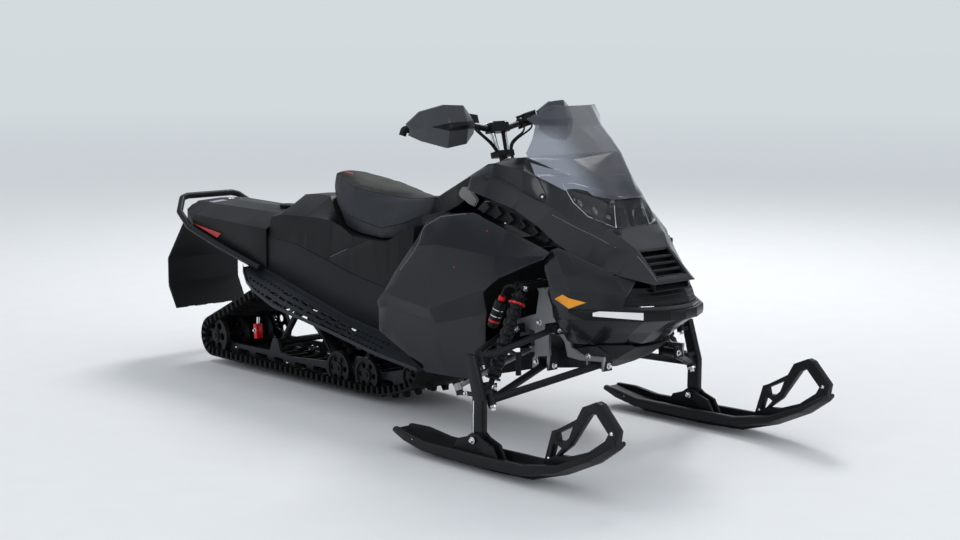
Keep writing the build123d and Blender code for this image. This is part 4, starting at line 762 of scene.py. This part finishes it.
def nose_parts():
    """Dark liner behind the openings, the pale strips and the push pins."""
    liner = Piece()
    rows = [(x, from_above("hood", x, 82)[0].z / MM - 9.0)
            for x in (1150, 1180, 1210, 1240, 1268, 1290)]
    floor = [mm(x, 0, max(z - 40.0, 600.0)) for x, z in rows]
    for a, b in zip(floor, floor[1:]):
        liner.plate([a + mm(0, -84, 0), b + mm(0, -84, 0), b + mm(0, 84, 0), a + mm(0, 84, 0)],
                    mm(0, 0, -3))
    for y in (-84, 81):
        top = [mm(x, y, z) for x, z in rows]
        liner.plate([p + mm(0, y, 0) for p in floor] + list(reversed(top)), mm(0, 3, 0))
    back_x, back_z = rows[0]
    liner.plate([mm(back_x, -84, 560), mm(back_x, 84, 560), mm(back_x, 84, back_z),
                 mm(back_x, -84, back_z)], mm(3, 0, 0))
    liner.plate([mm(1120, -205, 548), mm(1120, 205, 548), mm(1120, 205, 655),
                 mm(1120, -205, 655)], mm(3, 0, 0))
    liner.plate([mm(1120, -205, 655), mm(1215, -120, 655), mm(1262, -60, 618), mm(1262, 60, 618),
                 mm(1215, 120, 655), mm(1120, 205, 655)], mm(0, 0, -3))
    liner.done("nose_liner", FINISH["charcoal_plastic"], "chassis", "charcoal_plastic")
    strip = Piece()
    for s in SIDES:
        outer, inner = mm(1170.5, s * 260.8, 0), mm(1301.5, s * 152.2, 0)
        along = (inner - outer).normalized()
        out = along.cross(Vector((0, 0, 1))) * (-s)
        if out.y * s < 0:
            out = -out
        outline = [outer + Vector((0, 0, 0.519)), inner + Vector((0, 0, 0.510)),
                   inner + Vector((0, 0, 0.5345)), outer + along * 0.022 + Vector((0, 0, 0.5365)),
                   outer + Vector((0, 0, 0.531))]
        strip.plate([p - out * 0.0005 for p in outline], out * 0.0016, 0.0004)
    strip.done("nose_strips", WHITE, "chassis", "bumper_black")
    pins, groove, crease = Piece(), Piece(), Piece()
    for s in SIDES:
        seam = ((670, 956), (752, 936), (825, 911), (883, 885), (905, 882), (903, 905),
                (868, 956), (840, 990), (814, 1012))
        groove.tube(found(from_side("hood", x, z, s, 500, 0.6) for x, z in seam), 0.0016, 6)
        place, normal = from_side("hood", *HOOD_PIN, s, 500, 0.6)
        pins.dome(place, normal, 0.0055)
        groove.turned(place - normal * 0.0004, normal, [(0, 0.0125), (0.0012, 0.0120)], 20)
        # Painted highlight: pale lines along the hood's creases.
        for path in (((952, 240, 842), (970, 230, 832), (1022, 205, 806), (1075, 180, 782),
                      (1118, 160, 760), (1158, 139, 739)),
                     ((1213, 93, 713), (1245, 90, 690), (1275, 87, 660), (1304, 86, 630))):
            aim = Vector((0.58, 0.60 * s, 0.52)).normalized()
            line = found(skin("hood", mm(x, s * y, z) + aim * 0.2, -aim, 0.4)
                         for x, y, z in path)
            if len(line) > 2:
                crease.tube(line, 0.0011, 6)
    pins.done("hood_pins", SILVER, "chassis")
    crease.done("hood_crease_highlights", PAINTED_HIGHLIGHT, "chassis", "hood_grey")
    groove.done("hood_seams", FINISH["bumper_black"], "chassis", "hood_grey")


nose_parts()


# ---- handlebar controls
LEAN = Vector((-math.sin(math.radians(18)), 0, math.cos(math.radians(18))))
STEM = mm(415, 0, 1103)


def bar_point(y):
    """Middle of the bar at a distance from the centre, on either side."""
    path = ((0, 415, 1103), (60, 415, 1103), (170, 405, 1126), (360, 330, 1112))
    x, z = between_rows(path, abs(y))
    return mm(x, y, z)


def bar_controls():
    """Grips, switches, levers, cables and riser of the handlebar."""
    dark, steel, hose, grip = Piece(), Piece(), Piece(), Piece()
    ahead = Vector((math.cos(math.radians(18)), 0, math.sin(math.radians(18))))
    for s in SIDES:
        inner, outer = bar_point(s * 140), bar_point(s * 176)
        along = (outer - inner).normalized()
        dark.turned(bar_point(s * 118), along, [(0, 0.015), (0.003, 0.019), (0.030, 0.019),
                                                (0.033, 0.015)], 20)
        dark.block(bar_point(s * 162) - ahead * 0.012 + LEAN * 0.004, (along, ahead, LEAN),
                   (0.019, 0.020, 0.021), 0.004)
        dark.block(bar_point(s * 150) + ahead * 0.028 + LEAN * 0.012, (along, ahead, LEAN),
                   (0.024, 0.014, 0.012), 0.004)
        lever = [bar_point(s * 172) + ahead * 0.034, bar_point(s * 205) + ahead * 0.040,
                 bar_point(s * 262) + ahead * 0.030, bar_point(s * 318) + ahead * 0.030]
        dark.tube(smooth_path(lever, 6), 0.0062, 10, flat=0.7, normal=tuple(LEAN))
        steel.bolt(bar_point(s * 150) + ahead * 0.028 + LEAN * 0.023, LEAN, 0.005)
        steel.dome(bar_point(s * 162) - ahead * 0.031 + LEAN * 0.006, -ahead, 0.006)
        for k in range(9):
            y = s * (226 + 14 * k)
            here = bar_point(y)
            step = (bar_point(y + s) - here).normalized()
            grip.turned(here, step, [(0, 0.0150), (0.0015, 0.0172), (0.006, 0.0172),
                                     (0.0075, 0.0150)], 20)
        end = bar_point(s * 360)
        hook = [end - along * 0.012, end + Vector((-0.004, s * 0.006, -0.004)),
                mm(322, s * 372, 1104), mm(320, s * 378, 1086)]
        grip.tube(smooth_path(hook, 5), [0.015] * 5 + [0.0135] * 11, 14)
        for k, (y0, dx) in enumerate(((150, 26), (120, 14))):
            start = bar_point(s * y0) + ahead * dx * MM
            line = [start, start + Vector((0.022, -s * 0.012, -0.030)),
                    STEM + Vector((0.030, s * (0.052 - 0.010 * k), -0.062)),
                    STEM - LEAN * 0.150 + Vector((0.028, s * (0.024 - 0.007 * k), 0)),
                    STEM - LEAN * 0.235 + Vector((0.020, s * 0.012, 0))]
            hose.tube(smooth_path(line, 8), 0.0036, 8)
    for x in (-0.013, 0.013):
        for y in (-0.034, 0.034):
            steel.bolt(STEM + ahead * x + Vector((0, y, 0)) + LEAN * 0.0175, LEAN, 0.0052)
    steel.turned(STEM - LEAN * 0.128 + Vector((0, 0.02, 0)), (0, 1, 0),
                 [(0, 0.010), (0.010, 0.010)], 16)
    for s in SIDES:
        steel.tube([STEM + Vector((0, s * 0.030, 0)) - LEAN * 0.020,
                    STEM + Vector((0, s * 0.024, 0)) - LEAN * 0.090], 0.0096, 14)
    dark.block(STEM + LEAN * 0.0195, (ahead, (0, 1, 0), LEAN), (0.018, 0.028, 0.003), 0.001)
    dark.done("bar_controls", FINISH["bar_black"], "handlebar", "bar_black")
    steel.done("bar_fittings", SILVER, "handlebar")
    hose.done("bar_cables", HOSE, "handlebar")
    grip.done("bar_grips", FINISH["bar_black"], "handlebar", "bar_black")


bar_controls()

GUARD_ROWS = (
    # y, x, low, high
    (172, 470, 1092, 1160), (220, 486, 1058, 1196), (300, 476, 1046, 1200),
    (372, 430, 1070, 1176), (392, 380, 1090, 1130),
)


def guard_bands():
    """Dark raised band across the middle of each hand shield, on its outside."""
    for s, name in NAMED_SIDES:
        band = Piece()
        rows = []
        steps = 14
        for k in range(steps + 1):
            y = 174 + (352 - 174) * k / steps
            x, low, high = between_rows(GUARD_ROWS, y)
            middle = (low + high) / 2
            fade = 1.0 if y < 300 else max(0.15, (352 - y) / 52)
            under, over = 15 * fade, 13 * fade
            t0, t1 = under / (middle - low), over / (high - middle)
            p0 = mm(x + 14 - 10 * t0, s * y, middle - under)
            p1 = mm(x + 14, s * y, middle)
            p2 = mm(x + 14 - 28 * t1, s * y, middle + over)
            out = Vector((0.0022, 0, 0))
            rows.append([p0 - out, p0 + out * 0.4, p1 + out, p2 + out * 0.4, p2 - out])
        band.loft([[band.bm.verts.new(p) for p in ring] for ring in rows])
        band.done("guard_band_" + name, FINISH["bumper_black"], "handlebar", "bar_black")


guard_bands()


# ---- headlights
def headlights():
    """Thin clear lens over a dark bowl with projectors and a light bar."""
    lens = copy_of("headlights", "headlight_lens")
    lens.data.materials.clear()
    lens.data.materials.append(FINISH["lens_clear"])
    soften(lens, 0.5)
    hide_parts("headlights")
    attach(lens, "chassis")
    bowl, bright, dark = Piece(), Piece(), Piece()
    outline = ((937, 178), (990, 176), (1045, 160), (1098, 120), (1106, 84), (1082, 70),
               (1040, 88), (1000, 122), (962, 152))
    for s in SIDES:
        rim = []
        for x, y in outline:
            rim += found([from_above("headlights", x, s * y), from_above("hood", x, s * y)])[:1]
        if len(rim) > 4:
            bright.tube([p + Vector((0.0006, 0, 0.0012)) for p in rim], 0.0013, 6, closed=True)
        middle = sum(rim, Vector()) / len(rim)
        down = Vector((-0.55, -s * 0.25, -0.80)).normalized()
        outer = [bowl.bm.verts.new(p + down * 0.0075) for p in rim]
        inner = [bowl.bm.verts.new(middle.lerp(p, 0.80) + down * 0.040) for p in rim]
        bowl.bridge(outer, inner)
        bowl.cap(inner)
        for (x, y), r in (((1008, 150), 0.020), ((1052, 122), 0.020), ((1085, 94), 0.013)):
            place, _ = from_above("headlights", x, s * y)
            if place is None:
                continue
            ahead = Vector((0.80, -s * 0.18, 0.42)).normalized()
            seat = place + down * 0.030
            dark.turned(seat - ahead * 0.012, ahead, [(0, r * 1.15), (0.012, r * 1.25),
                                                      (0.016, r * 1.15)], 24)
            bright.turned(seat - ahead * 0.004, ahead,
                          [(0, r * 1.02), (0.009, r * 1.02), (0.013, r * 0.86),
                           (0.017, r * 0.5), (0.018, r * 0.1)], 24)
        bar = [place + down * 0.014 for place in found(
            from_above("headlights", x, s * y)
            for x, y in ((945, 170), (985, 165), (1022, 156), (1050, 140)))]
        if len(bar) > 1:
            bright.tube(smooth_path(bar, 5), 0.0026, 8)
    bowl.done("headlight_bowls", GLOSS, "chassis", "charcoal_plastic")
    dark.done("headlight_rings", FINISH["bumper_black"], "chassis", "charcoal_plastic")
    bright.done("headlight_bulbs", BULB, "chassis", "lens_clear")


headlights()


# ---- body trim
def trim_line(points, node, radius, piece, s):
    """Adds a thin painted highlight line along a node's side, through places given as x and z."""
    line = found(from_side(node, a[0] + (b[0] - a[0]) * k / 6, a[1] + (b[1] - a[1]) * k / 6, s)
                 for a, b in zip(points, points[1:]) for k in range(6))
    if len(line) > 2:
        piece.tube(line, radius, 6)


def body_trim():
    """Painted highlight lines along the panel and seat-base edges, dots, knee pads, deck plates
    and the collar on the tail.
    """
    pale, red, foam, plate = Piece(), Piece(), Piece(), Piece()
    for s, name in NAMED_SIDES:
        panel = "side_panel_" + name
        # Painted highlight lines along the side panel's and the seat base's edges.
        trim_line(((275, 588), (347, 669), (364, 704), (362, 752), (448, 797), (600, 822)),
                  panel, 0.0014, pale, s)
        trim_line(((-338, 562), (-213, 611), (-111, 652)), "seat_base", 0.0012, pale, s)
        for x, z in ((701, 769), (575, 632)):
            place, normal = from_side(panel, x, z, s)
            if place is not None:
                red.dome(place, normal, 0.0032, 0.0012)
        outline = ((455, 878), (474, 903), (512, 904), (563, 861), (544, 834), (517, 843),
                   (463, 864))
        base = [mm(x, s * 218, z) for x, z in outline]
        foam.plate(base, mm(0, s * 12, 0), 0.004)
    for x0, x1, y0, y1 in ((-1375, -1335, 60, 132), (-1330, -1290, -40, -112)):
        corners = found(from_above("tail_cover", x, y, 1000, 1.0)
                        for x, y in ((x0, y0), (x1, y0), (x1, y1), (x0, y1)))
        if len(corners) == 4:
            plate.plate(corners, mm(0, 0, 1.2))
    place, _ = from_above("tail_cover", -1333, 8, 1000, 1.0)
    plate.turned(place, (0, 0, 1), [(0, 0.016), (0.004, 0.015), (0.006, 0.008)], 20)
    collar = Piece()
    collar.turned(mm(-897, 0, 700), (0, 0, 1), [(0, 0.033), (0.006, 0.036), (0.012, 0.036),
                                                (0.015, 0.031)], 28)
    collar.done("deck_collar", FINISH["charcoal_plastic"], "chassis", "charcoal_plastic")
    pale.done("panel_highlight_lines", PAINTED_HIGHLIGHT, "chassis", "panel_gloss")
    red.done("panel_dots", RED, "chassis")
    foam.done("knee_pads", PAD, "chassis")
    plate.done("deck_plates", SILVER, "chassis")


body_trim()


# ---- running gear
def running_gear():
    """Adjuster, struts, axle bolts and board teeth."""
    red, steel, dark, teeth = Piece(), Piece(), Piece(), Piece()
    for s, side in NAMED_SIDES:
        if s < 0:
            red.block(mm(-966, s * 116, 168), ((1, 0, 0.1), (0, 1, 0), (-0.1, 0, 1)),
                      (0.012, 0.016, 0.032), 0.003)
            steel.turned(mm(-966, s * 116, 199), (0.05, 0, 1), [(0, 0.007), (0.030, 0.007)], 14)
            steel.bolt(mm(-966, s * 132.5, 172), (0, s, 0), 0.007)
        for x, z in ((-1206, 122), (-334, 105), (-152, 105), (-560, 456)):
            place, normal = from_side("track_wheels", x + 3, z + 3, s, 240, 0.3)
            if place is not None:
                steel.bolt(mm(x, place.y / MM, z), (0, s, 0), 0.0085)
        for x, z in ((-717, 67), (-1090, 82), (-620, 70), (-930, 62), (60, 96), (-30, 62)):
            place, normal = from_side("slide_rails", x, z, s, 240, 0.3)
            if place is not None:
                steel.dome(place, normal, 0.0062)
        dark.tube([mm(-640, s * 96, 330), mm(-470, s * 96, 130)], 0.0075, 10)
        dark.tube([mm(-700, s * 60, 300), mm(-430, s * 60, 96)], 0.020, 14)
        for side_y in (236, 268, 300):
            for k in range(34):
                x = -800 + 26 * k
                place, normal = from_above("running_board_" + side, x, s * side_y, 900, 1.0)
                if place is not None and place.z > 0.25:
                    across = Vector((0, 1, 0))
                    along = across.cross(normal).normalized()
                    outline = [place - along * 0.006, place + along * 0.006,
                               place + along * 0.004 + normal * 0.005,
                               place - along * 0.004 + normal * 0.005]
                    teeth.plate([p - across * 0.004 for p in outline], across * 0.008)
    red.done("skid_adjusters", RED, "chassis")
    steel.done("skid_bolts", SILVER, "chassis", "rail_alloy")
    dark.done("skid_struts", FINISH["shock_black"], "chassis", "shock_black")
    teeth.done("board_teeth", BOARD, "chassis", "dark_metal")


running_gear()


# ---- skis
SKI_WINDOWS = (
    ((1292, 183), (1370, 222), (1352, 180), (1330, 162), (1298, 160)),
    ((1281, 148), (1302, 148), (1318, 140), (1292, 112), (1266, 100)),
)


def ski_copies():
    """Skis with the windows in the foot of their loops, and softened edges."""
    for s, name in NAMED_SIDES:
        ski = copy_of("ski_" + name, "ski_body_" + name)
        mesh = ski.data
        mesh.normals_split_custom_set([(0.0, 0.0, 0.0)] * len(mesh.loops))
        bm = bmesh.new()
        bm.from_mesh(mesh)
        bmesh.ops.remove_doubles(bm, verts=bm.verts, dist=0.00002)
        bm.to_mesh(mesh)
        bm.free()
        cutters = []
        for k, outline in enumerate(SKI_WINDOWS):
            hole = Piece()
            hole.plate([mm(x, s * SKI_Y - 30, z) for x, z in outline], mm(0, 60, 0))
            bmesh.ops.recalc_face_normals(hole.bm, faces=hole.bm.faces)
            cut_mesh = bpy.data.meshes.new("cutter")
            hole.bm.to_mesh(cut_mesh)
            hole.bm.free()
            cutters.append(new_object("cutter", cut_mesh))
            modify(ski, "cut%d" % k, "BOOLEAN", operation="DIFFERENCE", object=cutters[-1],
                   solver="EXACT")
        apply(ski, "cut0", "cut1")
        for cutter in cutters:
            bpy.data.objects.remove(cutter)
        mesh.materials.clear()
        mesh.materials.append(FINISH["ski_plastic"])
        shade_smooth(mesh)
        modify(ski, "edges", "BEVEL", width=0.0018, segments=2, limit_method="ANGLE",
               angle_limit=math.radians(12), harden_normals=True)
        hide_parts("ski_" + name)
        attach(ski, "ski_" + name)


ski_copies()


# ---- stage, light, camera
CAMERA_AZIMUTH = 0.831164820
CAMERA_ELEVATION = 0.142163828
CAMERA_ROLL = 0.00305989812
CAMERA_PLACE = (5.299657, -4.540383, 1.524507)
CAMERA_LENS = 67.28


def make_camera():
    """Camera at the photograph's viewing angle."""
    a, e, roll = CAMERA_AZIMUTH, CAMERA_ELEVATION, CAMERA_ROLL
    right = Vector((math.cos(a), math.sin(a), 0))
    back = Vector((math.sin(a) * math.cos(e), -math.cos(a) * math.cos(e), math.sin(e)))
    up = back.cross(right)
    c, s = math.cos(roll), math.sin(roll)
    r2, u2 = right * c + up * s, up * c - right * s
    data = bpy.data.cameras.new("camera")
    data.lens, data.sensor_width = CAMERA_LENS, 36.0
    data.clip_start, data.clip_end = 0.1, 200.0
    cam = new_object("camera", data)
    turn = Matrix((r2, u2, back)).transposed().to_4x4()
    turn.translation = Vector(CAMERA_PLACE)
    cam.matrix_world = turn
    bpy.context.scene.camera = cam


def sees_backdrop(owner):
    """Node that gives 1 for camera, glossy and transmission rays, else 0."""
    path = add_node(owner, "LightPath")
    total, output = path, "Is Camera Ray"
    for name in ("Is Glossy Ray", "Is Transmission Ray"):
        add = add_node(owner, "Math", "ADD")
        add.use_clamp = True
        wire(total, output, add, 0)
        wire(path, name, add, 1)
        total, output = add, 0
    return total


HORIZON = (0.655, 0.705, 0.735)


def make_world():
    """Even light, with a soft studio sky that only camera, mirror and see-through rays meet."""
    world = bpy.data.worlds.new("studio")
    bpy.context.scene.world = world
    world.use_nodes = True
    lit = world.node_tree.nodes["Background"]
    lit.inputs["Color"].default_value = (0.93, 0.96, 1.0, 1)
    lit.inputs["Strength"].default_value = 0.66
    where, split = add_node(world, "TexCoord"), add_node(world, "SeparateXYZ")
    wire(where, "Generated", split, 0)
    sky = add_node(world, "ValToRGB")
    stops = sky.color_ramp.elements
    stops[0].position, stops[0].color = 0.0, (*HORIZON, 1)
    stops[1].position, stops[1].color = 1.0, (0.95, 0.97, 1.0, 1)
    for at, shade in ((0.12, HORIZON), (0.30, (0.34, 0.37, 0.42)),
                      (0.55, (0.50, 0.54, 0.60)), (0.80, (0.90, 0.93, 0.97))):
        stops.new(at).color = (*shade, 1)
    wire(split, "Z", sky, "Fac")
    seen, mix = add_node(world, "Background", Strength=1.0), add_node(world, "MixShader")
    wire(sky, "Color", seen, "Color")
    wire(sees_backdrop(world), 0, mix, 0)
    wire(lit, 0, mix, 1)
    wire(seen, 0, mix, 2)
    wire(mix, 0, world.node_tree.nodes["World Output"], "Surface")


def make_stage():
    """Pale floor that fades into the horizon's colour."""
    mat = finish("pale_floor", (0.86, 0.88, 0.90), 0.75, spread=0.05, bump=0.0004, grain=25.0,
                 mottle=0.01)
    where, away = add_node(mat, "TexCoord"), add_node(mat, "VectorMath", "LENGTH")
    wire(where, "Object", away, 0)
    fade = add_node(mat, "MapRange", From_Min=3.5, From_Max=22.0, To_Max=0.96)
    wire(away, "Value", fade, "Value")
    share = add_node(mat, "Math", "MULTIPLY")
    wire(fade, "Result", share, 0)
    wire(sees_backdrop(mat), 0, share, 1)
    glow, mix = add_node(mat, "Emission", Color=(*HORIZON, 1)), add_node(mat, "MixShader")
    wire(share, 0, mix, 0)
    wire(mat.node_tree.nodes["Principled BSDF"], 0, mix, 1)
    wire(glow, 0, mix, 2)
    wire(mix, 0, mat.node_tree.nodes["Material Output"], "Surface")
    mesh = bpy.data.meshes.new("floor")
    reach, low = 60.0, -0.0005
    mesh.from_pydata([(-reach, -reach, low), (reach, -reach, low), (reach, reach, low),
                      (-reach, reach, low)], [], [(0, 1, 2, 3)])
    mesh.materials.append(mat)
    floor = new_object("floor", mesh)


def make_lights():
    """Soft disks: one high behind on the left, one on the right, one in front."""
    for name, place, aim, size, power, colour in (
        ("key", (-2.6, 4.2, 5.6), (0, 0, 0.4), 2.6, 210, (1.0, 0.985, 0.96)),
        ("side", (1.2, -6.4, 3.4), (0, 0, 0.5), 2.6, 60, (0.94, 0.97, 1.0)),
        ("front", (6.4, 1.0, 2.6), (0.4, 0, 0.6), 2.4, 50, (0.96, 0.98, 1.0)),
    ):
        data = bpy.data.lights.new(name, "AREA")
        data.shape, data.size = "DISK", size
        data.energy, data.color = power, colour
        lamp = new_object(name, data)
        lamp.location = place
        lamp.rotation_mode = "QUATERNION"
        lamp.rotation_quaternion = (Vector(place) - Vector(aim)).to_track_quat("Z", "Y")


bpy.context.scene.view_settings.view_transform = "Standard"
make_camera()
make_world()
make_stage()
make_lights()
